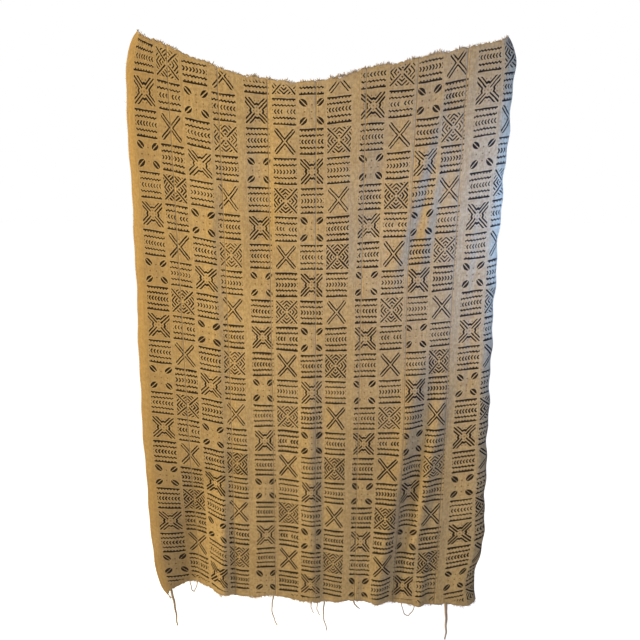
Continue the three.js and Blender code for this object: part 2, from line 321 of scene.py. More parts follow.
@dataclass
class HungSurface:
    """The middle surface of the hanging cloth, the same as in the part's source."""

    lines: tuple = HANG_LINES
    folds: tuple = FOLDS
    creases: tuple = CREASES
    ripple: float = 0.55

    def hang(self, column: str, across: np.ndarray) -> np.ndarray:
        """The value of one column of the hang lines at places across the cloth."""
        values = [getattr(line, column) for line in self.lines]
        return smooth_through(values, np.asarray(across, float) / STRIP_WIDTH)

    def cut(self, end: str, across: np.ndarray) -> np.ndarray:
        """Where the weaving begins or ends.

        Args:
            end: top_cut or hem_cut.
            across: Places across the cloth.

        Returns:
            The place down the cloth.
        """
        across = np.asarray(across, float)
        sign = -1 if end == "top_cut" else 1
        longer = sum(
            sign * c.longer * np.exp(-np.abs(across - c.across) / c.over)
            for c in CORNERS
            if c.end == end
        )
        uneven = 1.6 * np.sin(across / 23) + 1.2 * np.sin(across / 11 + 2)
        return self.hang(end, across) + longer + uneven

    @staticmethod
    def fold_depth(fold: Fold, across: np.ndarray, down: np.ndarray) -> np.ndarray:
        """The depth that one fold gives, away from the front.

        Args:
            fold: The fold.
            across: Places across the flat cloth.
            down: Places down the flat cloth.

        Returns:
            The depth at each place.
        """
        t = (down - fold.start) / (fold.end - fold.start)
        strength = np.sin(np.pi * np.clip(t, 0, 1)) ** 0.75
        head = fold.head * 2 * (t - 0.5) * (t - 1)
        waist = fold.waist * 4 * t * (1 - t)
        foot = fold.foot * 2 * t * (t - 0.5)
        s = (across - head - waist - foot) / fold.width
        swell = np.exp(-np.minimum(s * s, 60))
        if fold.kind is FoldKind.SWELL:
            return fold.depth * strength * swell
        return fold.depth * strength * s * np.exp(0.5 - np.minimum(s * s, 60) / 2)

    def ripples(self, across: np.ndarray, down: np.ndarray) -> np.ndarray:
        """Small puckers beside the seams and along the warp, in depth.

        Args:
            across: Places across the flat cloth.
            down: Places down the flat cloth.

        Returns:
            The depth at each place.
        """
        strip = across / STRIP_WIDTH
        from_seam = np.abs(strip - np.round(strip)) * STRIP_WIDTH
        turn = down / 8.5 + 5 * np.sin(down / 61 + strip.round() * 2)
        pucker = np.exp(-from_seam / 9) * np.sin(turn)
        streak = np.sin(across / 6.1 + 3 * np.sin(down / 240)) * np.sin(down / 97 + across / 40)
        wave = np.sin(across / 19 + down / 160) * np.sin(down / 74 + np.sin(across / 31) * 2)
        return self.ripple * (0.7 * pucker + 0.25 * streak + 0.9 * wave)

    def side_waves(self, across: np.ndarray, down: np.ndarray) -> np.ndarray:
        """How the two selvedges pull in and bulge out.

        Args:
            across: Places across the flat cloth.
            down: Places down the flat cloth.

        Returns:
            How much further right each place lies.
        """
        right = np.sin(down / 31 + 1) + 0.8 * np.sin(down / 13.7)
        right = np.exp(-(CLOTH_WIDTH - across) / 34) * right
        left = np.exp(-across / 34) * (np.sin(down / 47) + 0.6 * np.sin(down / 17.3 + 2))
        return 2.1 * right + 1.3 * left

    def point(self, across: np.ndarray, down: np.ndarray, small: bool = True) -> np.ndarray:
        """Points of the hanging cloth.

        Args:
            across: Places across the flat cloth.
            down: Places down the flat cloth.
            small: Whether the small creases and ripples are added.

        Returns:
            An array of x, y and z in millimetres.
        """
        across, down = np.broadcast_arrays(np.asarray(across, float), np.asarray(down, float))
        levels = [self.hang(column, across) for column in ("x1", "x2", "x3", "x4")]
        x = smooth_through(levels, down / LEVEL_STEP)
        for c in CORNERS:
            away = np.hypot(across - c.across, down - self.cut(c.end, c.across))
            x = x + c.inward * np.exp(-away / c.reach)
        for bend in SIDE_BENDS:
            away = np.hypot(across - bend.across, down - bend.down)
            x = x + bend.inward * np.exp(-((away / bend.reach) ** 2))
        head_z, foot_z = self.hang("head_z", across), self.hang("foot_z", across)
        z = head_z + (foot_z - head_z) * down / FOOT_LEVEL
        y = sum(self.fold_depth(fold, across, down) for fold in self.folds)
        for roll in EDGE_ROLLS:
            share = np.maximum(0, 1 - np.abs(across - roll.across) / roll.width)
            y = y + (roll.at_top + (roll.at_hem - roll.at_top) * down / FOOT_LEVEL) * share**2
        if small:
            y = y + sum(self.fold_depth(fold, across, down) for fold in self.creases)
            y = y + self.ripples(across, down)
            x = x + self.side_waves(across, down)
        return np.stack([x, y, z], -1)

    def normal(self, across: np.ndarray, down: np.ndarray) -> np.ndarray:
        """The cloth's direction away from the front.

        Args:
            across: Places across the flat cloth.
            down: Places down the flat cloth.

        Returns:
            An array of unit directions.
        """
        reach = 1.5
        weft = self.point(across + reach, down) - self.point(across - reach, down)
        warp = self.point(across, down + reach) - self.point(across, down - reach)
        cross = np.cross(weft, warp)
        return cross / np.linalg.norm(cross, axis=-1, keepdims=True)


class NodeNet:
    """A short way to write the nodes of one tree."""

    def __init__(self, tree: bpy.types.NodeTree) -> None:
        """Keeps the tree that the nodes go into."""
        self.tree = tree

    def node(self, kind: str, **settings: object) -> bpy.types.Node:
        """A new node with its settings.

        Args:
            kind: The node's type.
            settings: Its settings by name.

        Returns:
            The node.
        """
        made = self.tree.nodes.new(kind)
        for name, value in settings.items():
            setattr(made, name, value)
        return made

    def feed(self, socket: Socket, value: Value) -> None:
        """Gives a socket a link or a fixed value.

        Args:
            socket: The input.
            value: The link's start, or the value.
        """
        if isinstance(value, bpy.types.NodeSocket):
            self.tree.links.new(value, socket)
        else:
            socket.default_value = value

    def math(self, kind: str, *values: Value, clamp: bool = False) -> Socket:
        """The result of one Math node.

        Args:
            kind: The operation.
            values: The operation's inputs.
            clamp: Whether it stays in 0 to 1.

        Returns:
            The result.
        """
        made = self.node("ShaderNodeMath", operation=kind, use_clamp=clamp)
        for socket, value in zip(made.inputs, values):
            self.feed(socket, value)
        return made.outputs[0]

    def add(self, a: Value, b: Value) -> Socket:
        """a + b."""
        return self.math("ADD", a, b)

    def sub(self, a: Value, b: Value) -> Socket:
        """a - b."""
        return self.math("SUBTRACT", a, b)

    def mul(self, a: Value, b: Value) -> Socket:
        """a times b."""
        return self.math("MULTIPLY", a, b)

    def size(self, a: Value) -> Socket:
        """The size of a without its sign."""
        return self.math("ABSOLUTE", a)

    def hypot(self, a: Value, b: Value) -> Socket:
        """How far the place a and b is from nought."""
        return self.math("SQRT", self.add(self.mul(a, a), self.mul(b, b)))

    def least(self, *values: Value) -> Socket:
        """The least of several values.

        Args:
            values: The values.

        Returns:
            The least of them.
        """
        result = values[0]
        for value in values[1:]:
            result = self.math("MINIMUM", result, value)
        return result

    def most(self, *values: Value) -> Socket:
        """The greatest of several values.

        Args:
            values: The values.

        Returns:
            The greatest of them.
        """
        result = values[0]
        for value in values[1:]:
            result = self.math("MAXIMUM", result, value)
        return result

    def scaled(self, a: Value, times: Value, plus: Value) -> Socket:
        """a times a value, plus another."""
        return self.math("MULTIPLY_ADD", a, times, plus)

    def step(self, a: Value, over: float) -> Socket:
        """1 where a is greater than a value."""
        return self.math("GREATER_THAN", a, over)

    def repeat(self, a: Value, pitch: float) -> Socket:
        """The rest of a over a pitch, from 0 up to the pitch."""
        return self.math("FLOORED_MODULO", a, pitch)

    def noise(self, at: Value, scale: float, detail: float = 1.0, rough: float = 0.5) -> Socket:
        """Smooth noise from 0 to 1 at a place.

        Args:
            at: Where the noise is read.
            scale: How fine it is.
            detail: How many finer layers it has.
            rough: How strong the finer layers are.

        Returns:
            The noise.
        """
        made = self.node("ShaderNodeTexNoise", noise_dimensions="3D")
        self.feed(made.inputs["Vector"], at)
        made.inputs["Scale"].default_value = scale
        made.inputs["Detail"].default_value = detail
        made.inputs["Roughness"].default_value = rough
        return made.outputs[0]

    def shaken(self, at: Value, place: tuple, scale: float, detail: float, reach: tuple) -> tuple:
        """Two numbers of a place, each moved about by smooth noise.

        Args:
            at: Where the noise is read.
            place: The two numbers.
            scale: How fine the noise is.
            detail: How many finer layers it has.
            reach: From its least to its most, how far each number moves.

        Returns:
            The two moved numbers.
        """
        made = self.node("ShaderNodeTexNoise", noise_dimensions="3D")
        self.feed(made.inputs["Vector"], at)
        made.inputs["Scale"].default_value = scale
        made.inputs["Detail"].default_value = detail
        moved = zip(place, self.parts(made.outputs["Color"]), reach)
        return tuple(self.add(old, self.scaled(by, far, -far / 2)) for old, by, far in moved)

    def stretched(self, at: Value, scale: tuple, offset: tuple = (0, 0, 0)) -> Socket:
        """A place scaled along each axis and moved.

        Args:
            at: The place.
            scale: The scale along each axis.
            offset: How far it is moved.

        Returns:
            The new place.
        """
        made = self.node("ShaderNodeMapping")
        self.feed(made.inputs["Vector"], at)
        made.inputs["Location"].default_value = offset
        made.inputs["Scale"].default_value = scale
        return made.outputs[0]

    def vector(self, kind: str, a: Value, b: Value) -> Socket:
        """The result of one Vector Math node.

        Args:
            kind: The operation.
            a: The first vector.
            b: The second vector.

        Returns:
            The result.
        """
        made = self.node("ShaderNodeVectorMath", operation=kind)
        self.feed(made.inputs[0], a)
        self.feed(made.inputs[1], b)
        return made.outputs[0]

    def parts(self, vector: Value) -> tuple:
        """The x, y and z of a vector.

        Args:
            vector: The vector.

        Returns:
            Its three parts.
        """
        made = self.node("ShaderNodeSeparateXYZ")
        self.feed(made.inputs[0], vector)
        return tuple(made.outputs)

    def whole(self, x: Value, y: Value, z: Value = 0.0) -> Socket:
        """A vector from its parts.

        Args:
            x: The first part.
            y: The second part.
            z: The third part.

        Returns:
            The vector.
        """
        made = self.node("ShaderNodeCombineXYZ")
        for socket, value in zip(made.inputs, (x, y, z)):
            self.feed(socket, value)
        return made.outputs[0]

    def span(self, a: Value, from_range: tuple, to_range: tuple) -> Socket:
        """a carried from one range to another, and held inside it.

        Args:
            a: The number.
            from_range: Its own range.
            to_range: The range it is carried to.

        Returns:
            The number in the new range.
        """
        made = self.node("ShaderNodeMapRange", clamp=True)
        values = (a, *from_range, *to_range)
        for socket, value in zip(made.inputs, values):
            self.feed(socket, value)
        return made.outputs[0]

    def mix(self, data: str, label: str, share: Value, a: Value, b: Value) -> Socket:
        """The result of one Mix node, whose sockets of this data end in a label.

        Args:
            data: The kind of data that is mixed.
            label: How the sockets of that kind end.
            share: How much of the second value there is, from 0 to 1.
            a: The first value.
            b: The second value.

        Returns:
            The mixed value.
        """
        made = self.node("ShaderNodeMix", data_type=data, clamp_factor=True)
        for name, value in (("Factor_Float", share), ("A_" + label, a), ("B_" + label, b)):
            socket = next(s for s in made.inputs if s.identifier == name)
            self.feed(socket, value)
        return next(s for s in made.outputs if s.identifier == "Result_" + label)

    def blend(self, share: Value, a: Value, b: Value) -> Socket:
        """A number between a and b."""
        return self.mix("FLOAT", "Float", share, a, b)

    def tint(self, share: Value, a: Value, b: Value) -> Socket:
        """A colour between a and b."""
        a, b = ((*c, 1.0) if isinstance(c, tuple) else c for c in (a, b))
        return self.mix("RGBA", "Color", share, a, b)

    def use(self, group: bpy.types.NodeTree, **values: Value) -> bpy.types.Node:
        """A shader node group with its inputs, whose names have spaces for underscores.

        Args:
            group: The node group.
            values: Its inputs.

        Returns:
            The group's node.
        """
        made = self.node("ShaderNodeGroup", node_tree=group)
        for name, value in values.items():
            self.feed(made.inputs[name.replace("_", " ")], value)
        return made


def new_group(name: str, inputs: dict, outputs: Sequence[str]) -> tuple:
    """An empty shader node group.

    Args:
        name: The group's name.
        inputs: Socket names with their standing values: a number, or a tuple for a vector.
        outputs: Names of the number outputs.

    Returns:
        The group, its net, its input sockets by name and its output node.
    """
    group = bpy.data.node_groups.new(name, "ShaderNodeTree")
    for label, value in inputs.items():
        kind = "NodeSocketVector" if isinstance(value, tuple) else "NodeSocketFloat"
        socket = group.interface.new_socket(name=label, in_out="INPUT", socket_type=kind)
        socket.default_value = value
    for label in outputs:
        group.interface.new_socket(name=label, in_out="OUTPUT", socket_type="NodeSocketFloat")
    net = NodeNet(group)
    start = net.node("NodeGroupInput")
    end = net.node("NodeGroupOutput")
    return group, net, {s.name: s for s in start.outputs if s.name}, end


FIGURE_PLACE = {"X": 0.0, "Y": 0.0}


@dataclass(frozen=True)
class MudPattern:
    """The painted blocks: five traditional figures on a checkerboard with rows of stripes.

    All sizes are millimetres. Each figure group puts out a distance to its ink, negative inside,
    and most put out another one to their dots. A height is a distance from the block's middle.

    Attributes:
        column_pitch: How wide a column of blocks is.
        column_band: The plain band after each four columns.
        first_column: Where the first column begins.
        row_pitch: How high a row of blocks is.
        half_width: Half the width of the ink in a block.
        half_height: Half its height.
        stroke: Half the width of a stroke.
        dot: The radius of a dot.
        loose_dot: The radius of the dots among the ovals.
        no_dot: The distance to a dot in a block that has none.
        tooth_pitch: How far apart the teeth are.
        tooth_half: Half the width of a tooth.
        tooth_height: Half the height of a tooth.
        line_height: Where the toothed line lies.
        wave_height: Where the wavy line lies.
        wave_rise: How far the wavy line swings.
        wave_turn: How fast it swings, in radians a millimetre.
        wave_lean: How much the swing moves along with the height.
        chevron_half: Half the width of a small chevron's stroke.
        chevron_height: Where the small chevrons end.
        chevron_slant: How much they slant.
        missing_half: Half the width of the place without chevrons.
        cross_gap: How far apart the double lines of a cross are.
        cross_narrowing: How much narrower than its block a cross is drawn.
        notch_place: How far from the axis a notched chevron turns.
        notch_slope: How steep it is inside that turn.
        notched_height: Where a notched chevron turns.
        middle_start: Where the middle strokes begin.
        nested_pitch: How far apart the nested chevrons are.
        nested_start: Where their first cell begins.
        nested_low: Where they begin.
        nested_high: Where they end.
        nested_from_stroke: How far they stay from the corner strokes.
        bean_place: Where an oval lies.
        bean_length: Half its length.
        bean_slit: Half the width of its slit.
        far_outside: How far outside the ink a plain place counts as.
    """

    column_pitch: float = 75.5
    column_band: float = 15.0
    first_column: float = 20.25
    row_pitch: float = 82.0
    half_width: float = 32.5
    half_height: float = 35.0
    stroke: float = 1.75
    dot: float = 1.5
    loose_dot: float = 1.9
    no_dot: float = 9.0
    tooth_pitch: float = 9.0
    tooth_half: float = 1.45
    tooth_height: float = 2.4
    line_height: float = 34.2
    wave_height: float = 17.3
    wave_rise: float = 1.5
    wave_turn: float = 0.66
    wave_lean: float = 0.3
    chevron_half: float = 1.35
    chevron_height: float = 5.9
    chevron_slant: float = 0.6
    missing_half: float = 5.0
    cross_gap: float = 6.0
    cross_narrowing: float = 1.12
    notch_place: float = 5.6
    notch_slope: float = -0.42
    notched_height: float = 17.4
    middle_start: float = 7.6
    nested_pitch: float = 10.9
    nested_start: float = 7.3
    nested_low: float = 10.4
    nested_high: float = 58.0
    nested_from_stroke: float = 8.8
    bean_place: tuple = (22.6, 25.0)
    bean_length: float = 12.2
    bean_slit: float = 1.75
    far_outside: float = 40.0

    def toothed(self, net: NodeNet, x: Value) -> Socket:
        """The size of x in its own cell of a row of teeth."""
        half = self.tooth_pitch / 2
        return net.size(net.sub(net.repeat(net.add(x, 9 * half), self.tooth_pitch), half))

    def folded(self, net: NodeNet, x: Value, y: Value) -> tuple:
        """The sizes of x and y, and the greater and the lesser of them."""
        size_x, size_y = net.size(x), net.size(y)
        return size_x, size_y, net.most(size_x, size_y), net.least(size_x, size_y)

    def grid(self) -> bpy.types.NodeTree:
        """The group that finds a place's block and its kind.

        Returns:
            The node group.
        """
        outputs = ("X", "Y", "Column", "Row", "Plain", "Chance")
        group, net, given, end = new_group("painted_grid", {"Painted": (0.0, 0.0, 0.0)}, outputs)
        u, v, _ = net.parts(given["Painted"])
        across, down = net.mul(u, MM_PER_M), net.mul(v, MM_PER_M)
        four = 4 * self.column_pitch + self.column_band
        start = self.first_column - self.column_band / 2
        run = net.sub(across, start)
        local = net.sub(net.repeat(run, four), self.column_band / 2)
        column_place = net.mul(local, 1 / self.column_pitch)
        column = net.math("FLOOR", column_place)
        row_place = net.scaled(down, 1 / self.row_pitch, 0.5)
        row = net.math("FLOOR", row_place)
        x = net.mul(net.sub(net.math("FRACT", column_place), 0.5), self.column_pitch)
        y = net.mul(net.sub(net.math("FRACT", row_place), 0.5), self.row_pitch)
        edge = net.math("LESS_THAN", across, self.first_column - 1)
        band = net.most(net.math("LESS_THAN", local, 0.0), net.step(local, 4 * self.column_pitch))
        chance = net.node("ShaderNodeTexWhiteNoise", noise_dimensions="3D")
        block = net.math("FLOOR", net.mul(run, 1 / four))
        net.feed(chance.inputs["Vector"], net.whole(net.scaled(block, 4.0, column), row, 0.0))
        net.feed(end.inputs["X"], x)
        net.feed(end.inputs["Y"], y)
        net.feed(end.inputs["Column"], column)
        net.feed(end.inputs["Row"], net.repeat(row, 4.0))
        net.feed(end.inputs["Plain"], net.most(edge, band))
        net.feed(end.inputs["Chance"], chance.outputs["Value"])
        return group

    def stripes(self) -> bpy.types.NodeTree:
        """Two toothed lines, two wavy lines and a row of small chevrons.

        Returns:
            The node group.
        """
        sockets = {"X": 0.0, "Y": 0.0, "Facing": 1.0, "Gap": 0.0}
        group, net, given, end = new_group("striped_block", sockets, ("Distance",))
        x, y = given["X"], given["Y"]
        size_x, size_y = net.size(x), net.size(y)
        stroke = self.stroke + 0.1
        tooth = net.sub(self.toothed(net, x), self.tooth_half)
        from_row = net.size(net.sub(size_y, self.line_height - self.tooth_height))
        teeth = net.most(tooth, net.sub(from_row, self.tooth_height))
        solid = net.sub(net.size(net.sub(size_y, self.line_height)), stroke)
        turn = net.mul(net.add(x, net.mul(y, self.wave_lean)), self.wave_turn)
        swing = net.mul(net.math("SINE", turn), self.wave_rise)
        wavy = net.sub(net.size(net.add(net.sub(size_y, self.wave_height), swing)), stroke)
        slant = net.mul(given["Facing"], net.mul(size_y, self.chevron_slant))
        cell = net.mul(self.toothed(net, net.add(x, slant)), 0.86)
        chevron = net.sub(cell, self.chevron_half)
        chevron = net.most(chevron, net.sub(size_y, self.chevron_height))
        missing = net.mul(given["Gap"], net.math("LESS_THAN", size_x, self.missing_half))
        chevron = net.scaled(missing, self.far_outside / 2, chevron)
        rows = net.least(teeth, solid, wavy, chevron)
        net.feed(end.inputs["Distance"], net.most(rows, net.sub(size_x, self.half_width)))
        return group

    def crossed_lines(self) -> bpy.types.NodeTree:
        """A cross of double lines, made of four chevrons that meet at the middle.

        Returns:
            The node group.
        """
        group, net, given, end = new_group("crossed_lines", FIGURE_PLACE, ("Distance", "Dots"))
        x = net.mul(given["X"], self.half_height / self.half_width * self.cross_narrowing)
        _, _, more, less = self.folded(net, x, given["Y"])
        between = net.size(net.sub(net.sub(more, less), self.cross_gap))
        lines = net.sub(net.mul(between, HALF_DIAGONAL), self.stroke - 0.05)
        net.feed(end.inputs["Distance"], net.most(lines, net.sub(more, self.half_height)))
        dots = net.sub(net.hypot(net.sub(more, 21.0), less), self.dot)
        net.feed(end.inputs["Dots"], dots)
        return group

    def notched_cross(self) -> bpy.types.NodeTree:
        """Four middle strokes that don't meet, four notched chevrons and loose dots.

        Returns:
            The node group.
        """
        group, net, given, end = new_group("notched_cross", FIGURE_PLACE, ("Distance", "Dots"))
        x = net.mul(given["X"], self.half_height / self.half_width)
        _, _, more, less = self.folded(net, x, given["Y"])
        arm = net.sub(less, self.notch_place)
        edge = net.most(arm, net.mul(arm, self.notch_slope))
        chevron = net.size(net.sub(net.sub(more, edge), self.notched_height))
        chevron = net.sub(net.mul(chevron, 0.72), self.stroke)
        middle = net.sub(net.mul(net.sub(more, less), HALF_DIAGONAL), self.stroke)
        middle = net.most(middle, net.sub(self.middle_start, more))
        lines = net.most(net.least(chevron, middle), net.sub(more, self.half_height - 1))
        net.feed(end.inputs["Distance"], lines)
        near = net.hypot(net.sub(more, 10.0), less)
        far = net.hypot(net.sub(more, 27.5), net.sub(less, 6.0))
        dots = net.sub(net.least(near, net.hypot(more, less), far), self.dot)
        net.feed(end.inputs["Dots"], dots)
        return group

    def nested_chevrons(self) -> bpy.types.NodeTree:
        """Four strokes from corner to middle, with chevrons nested between them.

        Returns:
            The node group.
        """
        group, net, given, end = new_group("nested_chevrons", FIGURE_PLACE, ("Distance",))
        x = net.mul(given["X"], self.half_height / self.half_width)
        _, _, more, less = self.folded(net, x, given["Y"])
        stroke = net.sub(net.mul(net.sub(more, less), HALF_DIAGONAL), self.stroke)
        stroke = net.most(stroke, net.sub(5.0, more))
        ring = net.scaled(less, 0.86, more)
        cell = net.repeat(net.sub(ring, self.nested_start), self.nested_pitch)
        cell = net.size(net.sub(cell, self.nested_pitch / 2))
        lines = net.sub(net.mul(cell, 0.75), 1.5)
        lines = net.most(lines, net.sub(self.nested_from_stroke, net.sub(more, less)))
        lines = net.most(lines, net.sub(self.nested_low, ring), net.sub(ring, self.nested_high))
        whole = net.most(net.least(stroke, lines), net.sub(more, self.half_height))
        net.feed(end.inputs["Distance"], whole)
        return group

    def bean_corners(self) -> bpy.types.NodeTree:
        """Four slit ovals that point to the middle, and five loose dots.

        Returns:
            The node group.
        """
        group, net, given, end = new_group("bean_corners", FIGURE_PLACE, ("Distance", "Dots"))
        size_x, size_y, more, less = self.folded(net, given["X"], given["Y"])
        from_x = net.sub(size_x, self.bean_place[0])
        from_y = net.sub(size_y, self.bean_place[1])
        along = net.mul(net.add(from_x, from_y), HALF_DIAGONAL)
        beside = net.mul(net.sub(from_x, from_y), HALF_DIAGONAL)
        oval = net.sub(net.hypot(along, net.mul(beside, 1.55)), self.bean_length)
        slit = net.sub(self.bean_slit, net.size(beside))
        net.feed(end.inputs["Distance"], net.most(net.mul(oval, 0.75), slit))
        far = net.hypot(net.sub(more, 19.0), less)
        dots = net.sub(net.least(net.hypot(more, less), far), self.loose_dot)
        net.feed(end.inputs["Dots"], dots)
        return group

    def build(self) -> bpy.types.NodeTree:
        """The whole pattern: ink, dots, how heavy the hand was, and the paler cloth beside it.

        Returns:
            The node group.
        """
        sockets = {"Painted": (0.0, 0.0, 0.0)}
        outputs = ("Ink", "Dots", "Load", "Beside")
        group, net, given, end = new_group("mud_pattern", sockets, outputs)
        painted = given["Painted"]
        drifted = net.shaken(painted, net.parts(painted)[:2], 11.0, 1.0, (0.007, 0.008))
        u, v = net.shaken(painted, drifted, 120.0, 1.5, (0.0022, 0.0022))
        grid = net.use(self.grid(), Painted=net.whole(u, v)).outputs
        x, y, column, row = grid["X"], grid["Y"], grid["Column"], grid["Row"]
        place = net.scaled(column, 4.0, row)
        facing = net.add(net.step(place, 6.5), net.mul(net.step(place, 8.5), -1.0))
        facing = net.add(facing, net.step(place, 14.5))
        facing = net.scaled(facing, 2.0, -1.0)
        gap = net.math("COMPARE", place, 5.0, 0.25)
        stripes = net.use(self.stripes(), X=x, Y=y, Facing=facing, Gap=gap).outputs["Distance"]
        halves = net.add(*(net.math("FLOOR", net.mul(number, 0.5)) for number in (column, row)))
        second = net.repeat(halves, 2.0)
        odd_column = net.repeat(column, 2.0)
        striped = net.sub(1.0, net.repeat(net.add(column, row), 2.0))
        crossed = net.use(self.crossed_lines(), X=x, Y=y).outputs
        nested = net.use(self.nested_chevrons(), X=x, Y=y).outputs
        odd = net.blend(second, nested["Distance"], crossed["Distance"])
        odd_dots = net.blend(second, self.no_dot, crossed["Dots"])
        notched = net.use(self.notched_cross(), X=x, Y=y).outputs
        beans = net.use(self.bean_corners(), X=x, Y=y).outputs
        even = net.blend(second, notched["Distance"], beans["Distance"])
        even_dots = net.blend(second, notched["Dots"], beans["Dots"])
        figure = net.blend(odd_column, even, odd)
        figure_dots = net.blend(odd_column, even_dots, odd_dots)
        distance = net.blend(striped, figure, stripes)
        dots = net.blend(striped, figure_dots, self.no_dot)
        distance = net.scaled(grid["Plain"], self.far_outside, distance)
        distance = net.sub(distance, net.span(v, (0.2, 1.4), (0.05, 0.4)))
        dots = net.scaled(grid["Plain"], self.far_outside, dots)
        ragged = net.noise(painted, 330.0, 2.0, 0.6)
        worn = net.noise(painted, 38.0, 2.0)
        thin = net.scaled(grid["Chance"], 0.6, net.scaled(worn, 1.7, -1.55))
        rough = net.add(net.scaled(ragged, 1.1, -0.55), thin)
        ink = net.math("MULTIPLY_ADD", net.add(distance, rough), -1.8, 0.5, clamp=True)
        net.feed(end.inputs["Ink"], ink)
        net.feed(end.inputs["Beside"], net.span(distance, (0.5, 4.2), (1.0, 0.0)))
        spots = net.math("MULTIPLY_ADD", net.add(dots, net.mul(rough, 0.8)), -0.6, 0.5, clamp=True)
        net.feed(end.inputs["Dots"], spots)
        load = net.scaled(net.add(worn, net.mul(ragged, 0.4)), 1.2, net.mul(grid["Chance"], -0.3))
        net.feed(end.inputs["Load"], net.span(load, (0.55, 1.15), (0.0, 1.0)))
        return group


def weave_group() -> bpy.types.NodeTree:
    """Plain weave of uneven hand-spun threads: its height and its streaks of tone.

    Returns:
        The node group.
    """
    sockets = {"Woven": (0.0, 0.0, 0.0), "Warp Pitch": 0.0016, "Weft Pitch": 0.0019}
    outputs = ("Height", "Warp Streak", "Weft Streak")
    group, net, given, end = new_group("hand_weave", sockets, outputs)
    woven = given["Woven"]
    u, v = net.shaken(woven, net.parts(woven)[:2], 70.0, 2.0, (0.0012, 0.0016))
    warp = net.math("SINE", net.mul(net.math("DIVIDE", u, given["Warp Pitch"]), math.pi))
    weft = net.math("SINE", net.mul(net.math("DIVIDE", v, given["Weft Pitch"]), math.pi))
    over = net.scaled(net.mul(warp, weft), 0.5, 0.5)
    rounded = net.mul(*(net.math("POWER", net.size(wave), 0.6) for wave in (warp, weft)))
    height = net.add(net.mul(rounded, 0.6), net.mul(over, 0.4))
    warp_streak = net.noise(net.stretched(woven, (330.0, 9.0, 1.0)), 1.0, 2.0, 0.6)
    along_weft = net.stretched(woven, (12.0, 380.0, 1.0), (7.0, 3.0, 0.0))
    weft_streak = net.noise(along_weft, 1.0, 2.0, 0.6)
    net.feed(end.inputs["Height"], height)
    net.feed(end.inputs["Warp Streak"], warp_streak)
    net.feed(end.inputs["Weft Streak"], weft_streak)
    return group


def soil_group() -> bpy.types.NodeTree:
    """Uneven dye and handling: broad clouds, small mottling and specks, each from 0 to 1.

    Returns:
        The node group.
    """
    outputs = ("Cloud", "Mottle", "Speck")
    group, net, given, end = new_group("uneven_dye", {"Place": (0.0, 0.0, 0.0)}, outputs)
    place = given["Place"]
    net.feed(end.inputs["Cloud"], net.noise(place, 3.2, 3.0, 0.55))
    net.feed(end.inputs["Mottle"], net.noise(place, 34.0, 3.0, 0.6))
    speck = net.noise(net.stretched(place, (1.0, 1.0, 1.0), (3.0, 1.0, 5.0)), 240.0, 2.0, 0.6)
    net.feed(end.inputs["Speck"], net.span(speck, (0.62, 0.78), (0.0, 1.0)))
    return group


def new_material(name: str) -> tuple:
    """An empty material, its net and its Principled shader.

    Args:
        name: The material's name.

    Returns:
        The material, its net and its shader.
    """
    material = bpy.data.materials.new(name)
    material.use_nodes = True
    return material, NodeNet(material.node_tree), material.node_tree.nodes["Principled BSDF"]


@dataclass(frozen=True)
class MattCotton:
    """How a matt cotton surface takes the light.

    Attributes:
        sheen: How strong its soft sheen is.
        specular: How strongly it reflects.
        relief: How strong its relief is.
        depth: How deep its relief is, in metres.
    """

    sheen: float
    specular: float
    relief: float
    depth: float

    def feed(self, net: NodeNet, shader: bpy.types.Node, values: dict, height: Socket) -> None:
        """Feeds a material's Principled shader.

        Args:
            net: The material's net.
            shader: The shader.
            values: The shader's other inputs by name.
            height: The height of the relief.
        """
        for label, value in values.items():
            net.feed(shader.inputs[label], value)
        shader.inputs["Sheen Weight"].default_value = self.sheen
        shader.inputs["Sheen Roughness"].default_value = SHEEN_ROUGHNESS
        shader.inputs["Specular IOR Level"].default_value = self.specular
        bump = net.node("ShaderNodeBump")
        bump.inputs["Strength"].default_value = self.relief
        bump.inputs["Distance"].default_value = self.depth
        net.feed(bump.inputs["Height"], height)
        net.feed(shader.inputs["Normal"], bump.outputs[0])


@dataclass
class Shared:
    """The node groups that more than one finish uses."""

    weave: bpy.types.NodeTree = field(default_factory=weave_group)
    soil: bpy.types.NodeTree = field(default_factory=soil_group)


